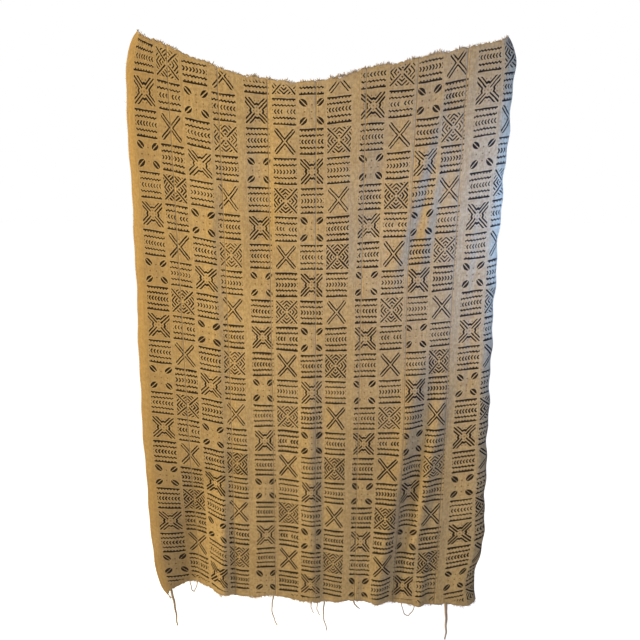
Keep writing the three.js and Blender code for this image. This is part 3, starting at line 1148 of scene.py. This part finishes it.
@dataclass(frozen=True)
class DyedCloth:
    """Matt tan cotton with the dark painted pattern, and painted shade between the threads and along
    the left selvedge.
    """

    name: str = "dyed_mud_cloth"
    ground: tuple = (0.53, 0.365, 0.155)
    ground_pale: tuple = (0.64, 0.465, 0.225)
    # The deeper ground tone, which also serves as the painted shade below.
    ground_deep_and_shade: tuple = (0.31, 0.195, 0.08)
    ink: tuple = (0.008, 0.006, 0.006)
    ink_thin: tuple = (0.038, 0.023, 0.014)
    dot: tuple = (0.13, 0.065, 0.03)
    seam: tuple = (0.16, 0.105, 0.055)
    roughness: float = 0.93
    matt: MattCotton = MattCotton(sheen=0.03, specular=0.05, relief=0.75, depth=0.0012)
    through: float = 0.22

    def build(self, shared: Shared, pattern: bpy.types.NodeTree) -> bpy.types.Material:
        """The cloth's material.

        Args:
            shared: The node groups of weave and uneven dye.
            pattern: The node group of the painted pattern.

        Returns:
            The material.
        """
        material, net, shader = new_material(self.name)
        woven = net.node("ShaderNodeUVMap", uv_map="woven").outputs[0]
        painted = net.node("ShaderNodeUVMap", uv_map="painted").outputs[0]
        weave = net.use(shared.weave, Woven=woven).outputs
        soil = net.use(shared.soil, Place=woven).outputs
        grain = net.noise(net.stretched(woven, (1.0, 0.6, 1.0)), 150.0, 3.0, 0.7)
        u, _, _ = net.parts(woven)
        cloud = net.span(soil["Cloud"], (0.3, 0.7), (0.0, 1.0))
        base = net.tint(cloud, self.ground, self.ground_pale)
        for mask, low_high, shares, colour in (
            (soil["Mottle"], (0.35, 0.85), (0.0, 0.45), self.ground_deep_and_shade),
            (grain, (0.42, 0.72), (0.0, 0.75), self.ground_deep_and_shade),
            (grain, (0.3, 0.5), (0.4, 0.0), self.ground_pale),
            (weave["Warp Streak"], (0.5, 0.85), (0.0, 0.5), self.ground_deep_and_shade),
            (weave["Weft Streak"], (0.5, 0.85), (0.0, 0.45), self.ground_pale),
            (soil["Speck"], (0.0, 1.0), (0.0, 0.35), self.seam),
            # Painted shade: darker where the weave is low, in the gaps between the threads.
            (weave["Height"], (0.0, 0.35), (0.35, 0.0), self.ground_deep_and_shade),
            # Painted shade: darker towards the left selvedge, within about 30 to 200 mm of it.
            (u, (0.03, 0.2), (0.5, 0.0), self.ground_deep_and_shade),
        ):
            base = net.tint(net.span(mask, low_high, shares), base, colour)
        mud = net.use(pattern, Painted=painted).outputs
        width = STRIP_WIDTH / MM_PER_M
        strip = net.math("PINGPONG", net.add(u, width), width / 2)
        ridge = net.span(strip, (0.0012, 0.0024), (1.0, 0.0))
        side, inside = (
            net.node("ShaderNodeAttribute", attribute_name=name).outputs["Fac"]
            for name in ("far_side", "inside_edge")
        )
        shown = net.mul(net.scaled(side, self.through - 1.0, 1.0), net.scaled(ridge, -0.65, 1.0))
        inside = net.add(inside, net.scaled(grain, 0.012, -0.006))
        shown = net.mul(shown, net.span(inside, (0.006, 0.014), (0.0, 1.0)))
        base = net.tint(net.mul(mud["Beside"], net.mul(shown, 0.3)), base, self.ground_pale)
        base = net.tint(net.mul(mud["Dots"], net.mul(shown, 0.75)), base, self.dot)
        mud_colour = net.tint(mud["Load"], self.ink, self.ink_thin)
        base = net.tint(net.mul(mud["Ink"], net.mul(shown, 0.97)), base, mud_colour)
        base = net.tint(net.mul(ridge, 0.4), base, self.ground_pale)
        seam = net.span(strip, (0.0006, 0.0016), (1.0, 0.0))
        base = net.tint(net.mul(seam, 0.55), base, self.seam)
        hem_line = net.span(net.size(net.sub(strip, 0.0062)), (0.0004, 0.0013), (1.0, 0.0))
        base = net.tint(net.mul(hem_line, 0.3), base, self.ground_deep_and_shade)
        roughness = net.scaled(mud["Ink"], -0.04, self.roughness)
        height = net.scaled(weave["Height"], 0.35, net.mul(weave["Warp Streak"], 0.9))
        height = net.add(height, net.mul(weave["Weft Streak"], 0.45))
        self.matt.feed(net, shader, {"Base Color": base, "Roughness": roughness}, height)
        return material


@dataclass(frozen=True)
class HandSpunYarn:
    """Loose undyed-looking cotton yarn of the ravelled edges and the seams."""

    name: str = "hand_spun_yarn"
    pale: tuple = (0.52, 0.38, 0.21)
    deep: tuple = (0.33, 0.225, 0.115)
    roughness: float = 0.95
    matt: MattCotton = MattCotton(sheen=0.15, specular=0.25, relief=0.6, depth=0.0004)

    def build(self, shared: Shared) -> bpy.types.Material:
        """The yarn's material, with streaks of tone along the threads.

        Args:
            shared: The node groups of weave and uneven dye.

        Returns:
            The material.
        """
        material, net, shader = new_material(self.name)
        place = net.node("ShaderNodeTexCoord").outputs["Object"]
        soil = net.use(shared.soil, Place=place).outputs
        fibre = net.noise(place, 900.0, 2.0, 0.7)
        base = net.tint(net.span(soil["Mottle"], (0.3, 0.75), (0.0, 1.0)), self.pale, self.deep)
        base = net.tint(net.span(fibre, (0.45, 0.8), (0.0, 0.5)), base, self.deep)
        roughness = net.scaled(fibre, 0.05, self.roughness - 0.05)
        self.matt.feed(net, shader, {"Base Color": base, "Roughness": roughness}, fibre)
        return material


def placed(name: str, data: bpy.types.ID) -> bpy.types.Object:
    """A new object of some data, in the scene.

    Args:
        name: The object's name.
        data: What it holds.

    Returns:
        The object.
    """
    made = bpy.data.objects.new(name, data)
    bpy.context.scene.collection.objects.link(made)
    return made


class GrownTree:
    """A Geometry Nodes tree built in the script, run once on a drawn line and baked to a mesh."""

    def __init__(self, name: str, inputs: dict) -> None:
        """Starts the tree with its named inputs.

        Args:
            name: The tree's name.
            inputs: Socket names with their standing values: a number, a whole number, or a
                tuple for a vector.
        """
        self.tree = bpy.data.node_groups.new(name, "GeometryNodeTree")
        self.net = NodeNet(self.tree)
        face = self.tree.interface
        face.new_socket(name="Geometry", in_out="INPUT", socket_type="NodeSocketGeometry")
        for label, value in inputs.items():
            if isinstance(value, tuple):
                kind = "NodeSocketVector"
            else:
                kind = "NodeSocketInt" if isinstance(value, int) else "NodeSocketFloat"
            socket = face.new_socket(name=label, in_out="INPUT", socket_type=kind)
            socket.default_value = value
        face.new_socket(name="Material", in_out="INPUT", socket_type="NodeSocketMaterial")
        face.new_socket(name="Geometry", in_out="OUTPUT", socket_type="NodeSocketGeometry")
        start = self.net.node("NodeGroupInput")
        self.given = {s.name: s for s in start.outputs if s.name}
        self.end = self.net.node("NodeGroupOutput")

    def geo(self, kind: str, values: dict, **settings: object) -> Socket:
        """The first output of a geometry node whose inputs are given by name.

        Args:
            kind: The node's type.
            values: Its inputs by name.
            settings: Its settings by name.

        Returns:
            The node's first output.
        """
        made = self.net.node(kind, **settings)
        for label, value in values.items():
            self.net.feed(made.inputs[label], value)
        return made.outputs[0]

    def sampled(self, spacing: str) -> Socket:
        """The drawn lines as curves with even points, as far apart as an input says.

        Args:
            spacing: The name of the input that holds the distance.

        Returns:
            The curves.
        """
        curve = self.geo("GeometryNodeMeshToCurve", {"Mesh": self.given["Geometry"]})
        values = {"Curve": curve, "Length": self.given[spacing]}
        return self.geo("GeometryNodeResampleCurve", values, mode="LENGTH")

    def tube(self, curve: Value, sides: Value, radius: Value) -> Socket:
        """A closed tube around a curve.

        Args:
            curve: The curve.
            sides: How many sides the tube has.
            radius: How wide it is at each point.

        Returns:
            The tube's mesh.
        """
        curve = self.geo("GeometryNodeSetCurveRadius", {"Curve": curve, "Radius": radius})
        profile = self.geo("GeometryNodeCurvePrimitiveCircle", {"Resolution": sides, "Radius": 1.0})
        made = self.net.node("GeometryNodeCurveToMesh")
        values = {"Curve": curve, "Profile Curve": profile, "Fill Caps": True}
        if "Scale" in made.inputs:
            values["Scale"] = radius
        for label, value in values.items():
            self.net.feed(made.inputs[label], value)
        return made.outputs[0]

    def scatter(self, roots: Value, piece: Value, turned: Value, length: Value) -> None:
        """Ends the tree with one turned copy of a piece on each root.

        Args:
            roots: The points.
            piece: What stands on each of them.
            turned: How each copy is turned about each axis.
            length: How large each copy is.
        """
        size = self.net.whole(length, length, length)
        values = {"Points": roots, "Instance": piece, "Rotation": turned, "Scale": size}
        self.close(self.geo("GeometryNodeInstanceOnPoints", values))

    def chance(self, low: Value, high: Value, seed: Value, kind: str = "FLOAT") -> Socket:
        """A random number or vector for each element.

        Args:
            low: The least value.
            high: The greatest value.
            seed: The fixed seed.
            kind: The kind of data.

        Returns:
            The random value.
        """
        made = self.net.node("FunctionNodeRandomValue", data_type=kind)
        live = [s for s in made.inputs if s.enabled]
        for socket, value in zip(live, (low, high)):
            self.net.feed(socket, value)
        self.net.feed(next(s for s in live if s.name == "Seed"), seed)
        return next(s for s in made.outputs if s.enabled)

    def close(self, geometry: Socket) -> None:
        """Ends the tree in real geometry with its material.

        Args:
            geometry: What the tree has made.
        """
        real = self.geo("GeometryNodeRealizeInstances", {"Geometry": geometry})
        smooth = self.geo("GeometryNodeSetShadeSmooth", {"Geometry": real})
        dressed = self.geo(
            "GeometryNodeSetMaterial", {"Geometry": smooth, "Material": self.given["Material"]}
        )
        self.net.feed(self.end.inputs[0], dressed)

    def grow(
        self, name: str, lines: Sequence[np.ndarray], values: dict, material: bpy.types.Material
    ) -> bpy.types.Object:
        """Runs the tree on lines and keeps the mesh.

        Args:
            name: The name of the new piece.
            lines: One array of points for each line, in millimetres. A fourth column is the
                thread's width there.
            values: The tree's inputs by name.
            material: What the tree dresses the mesh with.

        Returns:
            The new piece, a plain mesh.
        """
        points = np.concatenate(lines)
        edges, start = [], 0
        for line in lines:
            edges += [(start + i, start + i + 1) for i in range(len(line) - 1)]
            start += len(line)
        mesh = bpy.data.meshes.new(name + "_line")
        mesh.from_pydata((points[:, :3] / MM_PER_M).tolist(), edges, [])
        if points.shape[1] > 3:
            width = mesh.attributes.new("width", "FLOAT", "POINT")
            width.data.foreach_set("value", (points[:, 3] / MM_PER_M).astype(np.float32))
        seed = placed(name + "_seed", mesh)
        modifier = seed.modifiers.new("grow", "NODES")
        modifier.node_group = self.tree
        known = {
            item.name: item.identifier
            for item in self.tree.interface.items_tree
            if item.item_type == "SOCKET" and item.in_out == "INPUT"
        }
        for label, value in values.items():
            modifier[known[label]] = value
        modifier[known["Material"]] = material
        depsgraph = bpy.context.evaluated_depsgraph_get()
        grown = bpy.data.meshes.new_from_object(
            seed.evaluated_get(depsgraph), preserve_all_data_layers=True, depsgraph=depsgraph
        )
        bpy.data.objects.remove(seed)
        bpy.data.meshes.remove(mesh)
        grown.name = name
        return placed(name, grown)


def yarn_tree() -> GrownTree:
    """Two plies twisted about each line, as thick as the line's width.

    Returns:
        The tree.
    """
    inputs = {"Step": 0.0025, "Twist Length": 0.014, "Sides": 6}
    made = GrownTree("twisted_yarn", inputs)
    net, given = made.net, made.given
    curve = made.sampled("Step")
    width = made.geo("GeometryNodeInputNamedAttribute", {"Name": "width"}, data_type="FLOAT")
    along = net.node("GeometryNodeSplineParameter").outputs["Length"]
    tangent = net.node("GeometryNodeInputTangent").outputs[0]
    normal = net.node("GeometryNodeInputNormal").outputs[0]
    cross = net.vector("CROSS_PRODUCT", tangent, normal)
    turn = net.mul(net.math("DIVIDE", along, given["Twist Length"]), 2 * math.pi)
    join = net.node("GeometryNodeJoinGeometry")
    for ply in (0.0, math.pi):
        angle = net.add(turn, ply)
        reach = net.mul(width, 0.24)
        parts = []
        for kind, direction in (("COSINE", normal), ("SINE", cross)):
            scale = net.node("ShaderNodeVectorMath", operation="SCALE")
            net.feed(scale.inputs[0], direction)
            net.feed(scale.inputs["Scale"], net.mul(net.math(kind, angle), reach))
            parts.append(scale.outputs[0])
        values = {"Geometry": curve, "Offset": net.vector("ADD", *parts)}
        strand = made.geo("GeometryNodeSetPosition", values)
        tube = made.tube(strand, given["Sides"], net.mul(width, 0.3))
        net.tree.links.new(tube, join.inputs[0])
    made.close(join.outputs[0])
    return made


def fibre_tree() -> GrownTree:
    """Short curled fibres that stand out of an edge.

    Returns:
        The tree.
    """
    inputs = {
        "Spacing": 0.003,
        "Length": 0.007,
        "Thickness": 0.0004,
        "Heading": (0.0, 0.0, 0.0),
        "Spread": (0.6, 0.9, 3.1),
        "Seed": 1,
    }
    made = GrownTree("edge_fibres", inputs)
    net, given = made.net, made.given
    seed, heading, spread = given["Seed"], given["Heading"], given["Spread"]
    jitter = made.chance((-0.001, -0.0006, -0.0008), (0.001, 0.0006, 0.0006), seed, "FLOAT_VECTOR")
    values = {"Geometry": made.sampled("Spacing"), "Offset": jitter}
    roots = made.geo("GeometryNodeSetPosition", values)
    bend = {"Start": (0.0, 0.0, -0.15), "Middle": (0.1, 0.0, 0.6), "End": (0.42, 0.1, 1.0)}
    strand = made.geo("GeometryNodeCurveQuadraticBezier", {"Resolution": 4, **bend})
    reach = net.node("GeometryNodeSplineParameter").outputs["Factor"]
    slim = net.math("DIVIDE", given["Thickness"], given["Length"])
    tube = made.tube(strand, 3, net.mul(net.scaled(reach, -0.75, 1.0), slim))
    low, high = (net.vector(kind, heading, spread) for kind in ("SUBTRACT", "ADD"))
    turned = made.chance(low, high, net.add(seed, 7.0), "FLOAT_VECTOR")
    length = net.mul(made.chance(0.35, 1.25, net.add(seed, 13.0)), given["Length"])
    place = net.node("GeometryNodeInputPosition").outputs[0]
    clump = net.span(net.noise(place, 26.0, 2.0, 0.6), (0.4, 0.62), (0.3, 1.4))
    made.scatter(roots, tube, turned, net.mul(length, clump))
    return made


def stitch_tree() -> GrownTree:
    """Slanted whip stitches along a seam.

    Returns:
        The tree.
    """
    inputs = {"Pitch": 0.0065, "Length": 0.0052, "Thickness": 0.00045, "Seed": 3}
    made = GrownTree("whip_stitches", inputs)
    net, given = made.net, made.given
    bend = {"Start": (-0.5, 0.2, -0.18), "Middle": (0.0, -0.34, 0.0), "End": (0.5, 0.2, 0.18)}
    strand = made.geo("GeometryNodeCurveQuadraticBezier", {"Resolution": 4, **bend})
    tube = made.tube(strand, 4, net.math("DIVIDE", given["Thickness"], given["Length"]))
    turned = made.chance((0.0, -0.35, -0.1), (0.0, 0.35, 0.1), given["Seed"], "FLOAT_VECTOR")
    length = net.mul(made.chance(0.7, 1.15, net.add(given["Seed"], 5.0)), given["Length"])
    made.scatter(made.sampled("Pitch"), tube, turned, length)
    return made


@dataclass
class WovenStrip:
    """One narrow woven strip as a fine thin sheet on the folds of its solid.

    Attributes:
        index: Which strip, from 1 at the left.
        surface: The hanging cloth.
        cells_across: How many faces it has across.
        cells_down: How many faces it has down.
        thickness: How thick it is.
        wider_at_hem: How much wider the unpainted margin is at the hem than at the top.
    """

    index: int
    surface: HungSurface
    cells_across: int = 34
    cells_down: int = 330
    thickness: float = 1.5
    wider_at_hem: float = 6.0

    @property
    def name(self) -> str:
        """The name of the strip's solid."""
        return f"woven_strip_{self.index}"

    @property
    def left(self) -> float:
        """Where the strip begins across the cloth."""
        return (self.index - 1) * STRIP_WIDTH

    def frayed(self, across: np.ndarray, seed: int) -> np.ndarray:
        """A fine ragged line along a raw edge.

        Args:
            across: Places across the cloth.
            seed: The edge's fixed seed, to which the strip's index is added.

        Returns:
            How much further down the cloth each place of the edge lies.
        """
        chance = np.random.default_rng(seed + self.index)
        coarse = np.interp(across, np.linspace(0, CLOTH_WIDTH, 220), chance.normal(0, 1.5, 220))
        fine = chance.normal(0, 0.9, across.shape)
        return coarse + fine

    def painted(self, across: np.ndarray, down: np.ndarray) -> np.ndarray:
        """Where the painter's columns and rows lie on the woven cloth.

        Args:
            across: Places across the flat cloth.
            down: Places down the flat cloth.

        Returns:
            An array of places across and down the painted grid, in metres.
        """
        pull = PAINT_PULL
        level = np.clip(down / FOOT_LEVEL, 0, 1.1)
        shift = pull.sideways * level * np.exp(-across / pull.side_reach)
        column = np.clip(across / PAINT_COLUMN_STEP, 0, len(PAINT_DRIFTS[0].columns) - 1)
        row = np.clip(down / PAINT_LEVEL_STEP, 0, len(PAINT_DRIFTS) - 1)
        right = [smooth_through(drift.columns, column) for drift in PAINT_DRIFTS]
        lower = [smooth_through(drift.rows, column) for drift in PAINT_DRIFTS]
        drawn_across = across + shift + smooth_through(right, row)
        drawn_down = down + smooth_through(lower, row)
        away = np.hypot(across - pull.corner[0], down - pull.corner[1])
        drawn_down = drawn_down + pull.lower * np.exp(-away / pull.corner_reach)
        return np.stack([drawn_across, drawn_down], -1) / MM_PER_M

    def build(self, material: bpy.types.Material) -> bpy.types.Object:
        """Makes the strip's sheet.

        Args:
            material: The dyed cloth.

        Returns:
            The finished piece.
        """
        surface = self.surface
        line = self.left + np.linspace(0, STRIP_WIDTH, self.cells_across + 1)
        share = np.linspace(0, 1, self.cells_down + 1)[:, None]
        top = surface.cut("top_cut", line) + self.frayed(line, 100)
        hem = surface.cut("hem_cut", line) + self.frayed(line, 200)
        down = top[None] + (hem - top)[None] * share
        across = np.broadcast_to(line, down.shape)
        middle = surface.point(across, down)
        normal = surface.normal(across, down)
        front = middle - normal * self.thickness / 2
        back = middle + normal * self.thickness / 2
        points = np.concatenate([front.reshape(-1, 3), back.reshape(-1, 3)]) / MM_PER_M
        faces = self.faces(*down.shape)
        mesh = bpy.data.meshes.new(self.name + "_sheet")
        mesh.from_pydata(points.tolist(), [], faces)
        flat = np.stack([across, down], -1).reshape(-1, 2) / MM_PER_M
        drawn = self.painted(across, down).reshape(-1, 2)
        corners = np.zeros(len(mesh.loops), np.int32)
        mesh.loops.foreach_get("vertex_index", corners)
        for label, place in (("woven", flat), ("painted", drawn)):
            layer = mesh.uv_layers.new(name=label)
            both = np.concatenate([place, place])
            layer.data.foreach_set("uv", both[corners].astype(np.float32).ravel())
        inside = np.minimum(hem[None] - down - self.wider_at_hem, down - top[None])
        inside = inside.ravel() / MM_PER_M
        far = np.repeat([0.0, 1.0], down.size)
        for label, values in (("far_side", far), ("inside_edge", np.tile(inside, 2))):
            layer = mesh.attributes.new(label, "FLOAT", "POINT")
            layer.data.foreach_set("value", values.astype(np.float32))
        mesh.shade_smooth()
        mesh.materials.append(material)
        return placed(self.name + "_cloth", mesh)

    def faces(self, rows: int, columns: int) -> list:
        """The faces of a closed thin sheet of rows and columns of points.

        Args:
            rows: How many rows of points each side has.
            columns: How many points a row has.

        Returns:
            The faces as tuples of point indexes.
        """
        shift = rows * columns
        last_row, last = rows - 1, columns - 1
        faces = []
        for r in range(last_row):
            for c in range(last):
                a, b = r * columns + c, (r + 1) * columns + c
                faces.append((a, b, b + 1, a + 1))
                faces.append((shift + a, shift + a + 1, shift + b + 1, shift + b))
            a, b = r * columns, (r + 1) * columns
            faces.append((a, a + shift, b + shift, b))
            faces.append((a + last, b + last, b + last + shift, a + last + shift))
        for c in range(last):
            a, b = c, last_row * columns + c
            faces.append((a, a + 1, a + 1 + shift, a + shift))
            faces.append((b, b + shift, b + 1 + shift, b + 1))
        return faces

    def flat_length(self) -> float:
        """The strip's length when flat, in metres.

        Returns:
            The length along the strip's middle.
        """
        middle = self.left + STRIP_WIDTH / 2
        top, hem = (self.surface.cut(end, middle) for end in ("top_cut", "hem_cut"))
        return float(hem - top) / MM_PER_M


@dataclass
class RavelledHem:
    """The loose threads of one strip's hem."""

    index: int
    surface: HungSurface

    def hanging(self, thread: HangingThread) -> np.ndarray:
        """The line of one hanging thread, with its widths.

        Args:
            thread: The thread.

        Returns:
            Its points, each with the width there.
        """
        hem = float(self.surface.cut("hem_cut", thread.across))
        leave = self.surface.point(thread.across, hem)
        root = self.surface.point(thread.across, hem - 6)
        t = np.linspace(0, 1, 24)[1:]
        curl = 1.6 * np.sin(t * 17 + thread.across) * t
        x = leave[0] + thread.lean * t * t + thread.kink * np.sin(np.pi * t) + curl
        y = leave[1] + 1.2 * np.sin(t * 13 + thread.across)
        z = leave[2] - thread.length * t
        width = 1.35 * (thread.thick + (thread.tip - thread.thick) * t) + 0.5
        line = np.stack([x, y * np.ones_like(t), z, width], -1)
        return np.concatenate([[[*root, thread.thick]], line])

    def looped(self, loop: ThreadLoop) -> np.ndarray:
        """The line of one looped thread, with its widths.

        Args:
            loop: The loop.

        Returns:
            Its points, each with the width there.
        """
        t = np.linspace(0, 1, 28)
        across = loop.across + (loop.end - loop.across) * t
        hem = self.surface.cut("hem_cut", across)
        line = self.surface.point(across, hem - 4)
        line[:, 2] -= (loop.sag + 4) * np.sin(np.pi * t) ** 0.6
        line[:, 0] += 1.5 * np.sin(t * 15)
        width = np.full((len(t), 1), loop.thick * 1.15)
        return np.concatenate([line, width], 1)

    def lines(self) -> list:
        """The lines of all the loose threads of this strip."""
        made = [self.hanging(thread) for thread in THREADS if thread.strip == self.index]
        return made + [self.looped(loop) for loop in LOOPS if loop.strip == self.index]


@dataclass(frozen=True)
class Lamp:
    """A soft rectangular light.

    Attributes:
        name: Its name.
        place: Where it stands, in metres.
        aim: What it points at.
        size: Its width and height.
        power: Its power in watts.
        colour: Its colour.
    """

    name: str
    place: tuple
    aim: tuple
    size: tuple
    power: float
    colour: tuple


LAMPS = (
    Lamp("raking_light", (-2.9, -1.0, 0.4), (0.0, 0.0, -0.6), (0.5, 0.9), 97.0, (1.0, 0.82, 0.5)),
    Lamp("near_light", (-0.3, -1.3, -0.45), (-0.25, 0.0, -0.6), (0.7, 0.7), 7.0, (1.0, 0.72, 0.04)),
    Lamp("fill_light", (0.9, -2.3, -0.5), (0.25, 0.0, -0.7), (0.8, 0.8), 20.5, (0.23, 0.42, 0.95)),
    Lamp("window_light", (0.85, -0.26, -0.38), (0.46, 0.0, -0.38), (0.1, 0.36), 8.6, (0.12, 0.3, 1.0)),
)


@dataclass
class Studio:
    """The camera, the pale floor and the soft lights."""

    eye: tuple = (0.0, -2.05, -0.1625)
    tilt: float = 14.0
    lens: float = 40.275
    floor_z: float = -1.95
    floor_reach: float = 14.0
    floor_colour: tuple = (0.86, 0.86, 0.85)
    floor_glow: float = 0.9
    sky_strength: float = 0.12

    def camera(self) -> None:
        """Sets up the camera."""
        data = bpy.data.cameras.new("camera")
        data.lens = self.lens
        data.sensor_width = SENSOR_WIDTH
        camera = placed("camera", data)
        camera.location = self.eye
        camera.rotation_euler = (math.radians(90 - self.tilt), 0.0, 0.0)
        bpy.context.scene.camera = camera

    def floor(self) -> None:
        """Sets up the plain floor."""
        mesh = bpy.data.meshes.new("floor")
        reach, z = self.floor_reach, self.floor_z
        corners = [(-reach, -reach, z), (reach, -reach, z), (reach, reach, z), (-reach, reach, z)]
        mesh.from_pydata(corners, [], [(0, 1, 2, 3)])
        material, net, shader = new_material("pale_floor")
        shader.inputs["Base Color"].default_value = (*self.floor_colour, 1.0)
        shader.inputs["Roughness"].default_value = 0.9
        shader.inputs["Emission Color"].default_value = (1.0, 1.0, 1.0, 1.0)
        seen = net.node("ShaderNodeLightPath").outputs["Is Camera Ray"]
        net.feed(shader.inputs["Emission Strength"], net.mul(seen, self.floor_glow))
        mesh.materials.append(material)
        placed("floor", mesh)

    def light(self, lamp: Lamp) -> None:
        """Sets up one soft rectangular light, which the camera doesn't see.

        Args:
            lamp: The light's place, aim, size, power and colour.
        """
        data = bpy.data.lights.new(lamp.name, "AREA")
        data.shape = "RECTANGLE"
        data.size, data.size_y = lamp.size
        data.energy = lamp.power
        data.color = lamp.colour
        made = placed(lamp.name, data)
        made.location = lamp.place
        made.visible_camera = False
        look = Vector(lamp.aim) - Vector(lamp.place)
        made.rotation_euler = look.to_track_quat("-Z", "Y").to_euler()

    def sky(self) -> None:
        """Sets up the even white surroundings."""
        world = bpy.data.worlds.new("surroundings")
        bpy.context.scene.world = world
        world.use_nodes = True
        net = NodeNet(world.node_tree)
        shown = world.node_tree.nodes["Background"]
        seen = net.node("ShaderNodeLightPath").outputs["Is Camera Ray"]
        strength = net.scaled(seen, 1.0 - self.sky_strength, self.sky_strength)
        net.feed(shown.inputs["Strength"], strength)
        shown.inputs["Color"].default_value = (1.0, 1.0, 1.0, 1.0)

    def build(self) -> None:
        """Sets up all of the studio."""
        self.camera()
        self.floor()
        self.sky()
        for lamp in LAMPS:
            self.light(lamp)
        view = bpy.context.scene.view_settings
        view.view_transform = "Standard"
        view.look = "None"


@dataclass(frozen=True)
class Fray:
    """How short fibres stand along one kind of edge, with lengths in metres.

    Attributes:
        label: The edge's name.
        heading: Which way the fibres point, as a turn about each axis.
        spread: How far each turn strays.
        spacing: How far apart they stand.
        length: How long they are.
        thickness: How thick they are at the root.
    """

    label: str
    heading: tuple
    spread: tuple
    spacing: float
    length: float
    thickness: float


QUARTER = math.pi / 2
SIDE_FRAY_LENGTH = 1600
SEAM_LENGTH = 1590
IN_FROM_CUT = 0.5
IN_FROM_SIDE = 0.6
STITCH_RISE = 0.9
TOP_FRAY = Fray("top", (0.0, 0.0, 0.0), (0.6, 1.0, 3.1), 0.0010, 0.0062, 0.0014)
HEM_FRAY = Fray("hem", (math.pi, 0.0, 0.0), (0.6, 1.0, 3.1), 0.0012, 0.0065, 0.0009)
LEFT_FRAY = Fray("side", (0.0, -QUARTER, 0.0), (0.5, 0.5, 3.1), 0.004, 0.005, 0.00035)
RIGHT_FRAY = Fray("side", (0.0, QUARTER, 0.0), (0.5, 0.5, 3.1), 0.004, 0.005, 0.00035)


class MudCloth:
    """The whole cloth: its strips, seams, raw edges and loose threads."""

    def __init__(self) -> None:
        """Prepares the surface, the trees and the finishes."""
        self.surface = HungSurface()
        shared = Shared()
        self.cloth = DyedCloth().build(shared, MudPattern().build())
        self.yarn = HandSpunYarn().build(shared)
        # The raw-edge fibres get a paler copy of the yarn: partly painted light, lifting them out of
        # the shade they cast on each other.
        fibre = HandSpunYarn("raw_edge_fibre", (0.66, 0.48, 0.26), (0.5, 0.35, 0.18))
        self.fibre = fibre.build(shared)
        self.yarns = yarn_tree()
        self.fibres = fibre_tree()
        self.stitches = stitch_tree()

    def dressed(self, piece: bpy.types.Object, slot: str) -> bpy.types.Object:
        """Seats a piece on the cloth's body.

        Args:
            piece: The piece.
            slot: Not used.

        Returns:
            The same piece.
        """
        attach(piece, "root")
        LOG.info("%s: %d faces", piece.name, len(piece.data.polygons))
        return piece

    def fringe(self, strip: WovenStrip) -> list:
        """The short fibres along one strip's raw top, raw hem and, at the sides, its selvedge.

        Args:
            strip: The strip.

        Returns:
            The new pieces.
        """
        line = strip.left + np.linspace(1, STRIP_WIDTH - 1, 60)
        down = np.linspace(0, SIDE_FRAY_LENGTH, 400)
        runs = [
            (TOP_FRAY, line, self.surface.cut("top_cut", line) + IN_FROM_CUT),
            (HEM_FRAY, line, self.surface.cut("hem_cut", line) - IN_FROM_CUT),
        ]
        if strip.index == 1:
            runs.append((LEFT_FRAY, np.full_like(down, IN_FROM_SIDE), down))
        if strip.index == STRIP_COUNT:
            runs.append((RIGHT_FRAY, np.full_like(down, CLOTH_WIDTH - IN_FROM_SIDE), down))
        pieces = []
        for number, (fray, across, level) in enumerate(runs):
            values = {
                "Spacing": fray.spacing,
                "Length": fray.length,
                "Thickness": fray.thickness,
                "Heading": fray.heading,
                "Spread": fray.spread,
                "Seed": strip.index * 10 + number,
            }
            lines = [self.surface.point(across, level)]
            name = f"frayed_{fray.label}_{strip.index}"
            pieces.append(self.dressed(self.fibres.grow(name, lines, values, self.fibre), "thread"))
        return pieces

    def threads(self, index: int) -> Union[bpy.types.Object, None]:
        """The loose threads of one strip's hem, if it has any.

        Args:
            index: Which strip, from 1 at the left.

        Returns:
            The new piece, or None.
        """
        lines = RavelledHem(index, self.surface).lines()
        if not lines:
            return None
        values = {"Step": 0.002, "Twist Length": 0.013, "Sides": 6}
        piece = self.yarns.grow(f"loose_threads_{index}", lines, values, self.yarn)
        self.dressed(piece, "thread")
        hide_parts(f"ravelled_hem_{index}")
        return piece

    def seam(self, index: int) -> bpy.types.Object:
        """The whip stitches between a strip and the next one.

        Args:
            index: Which strip is on the seam's left.

        Returns:
            The new piece.
        """
        down = np.linspace(0, SEAM_LENGTH, 500)
        across = np.full_like(down, index * STRIP_WIDTH)
        line = self.surface.point(across, down)
        line[:, 1] -= STITCH_RISE
        values = {"Pitch": 0.0065, "Length": 0.0048, "Thickness": 0.00035, "Seed": 40 + index}
        piece = self.stitches.grow(f"seam_stitches_{index}", [line], values, self.yarn)
        return self.dressed(piece, "thread")

    def build(self) -> None:
        """Makes every piece."""
        for index in range(1, STRIP_COUNT + 1):
            strip = WovenStrip(index, self.surface)
            sheet = strip.build(self.cloth)
            self.dressed(sheet, "cloth")
            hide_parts(strip.name)
            along = self.fringe(strip)
            threads = self.threads(index)
            if threads is not None:
                along.append(threads)
            if index < STRIP_COUNT:
                along.append(self.seam(index))
            flat = (STRIP_WIDTH / MM_PER_M, strip.flat_length())


def main() -> None:
    """Builds the studio and the cloth."""
    logging.basicConfig(level=logging.INFO, format="%(name)s: %(message)s")
    Studio().build()
    MudCloth().build()


if __name__ == "__main__":
    main()
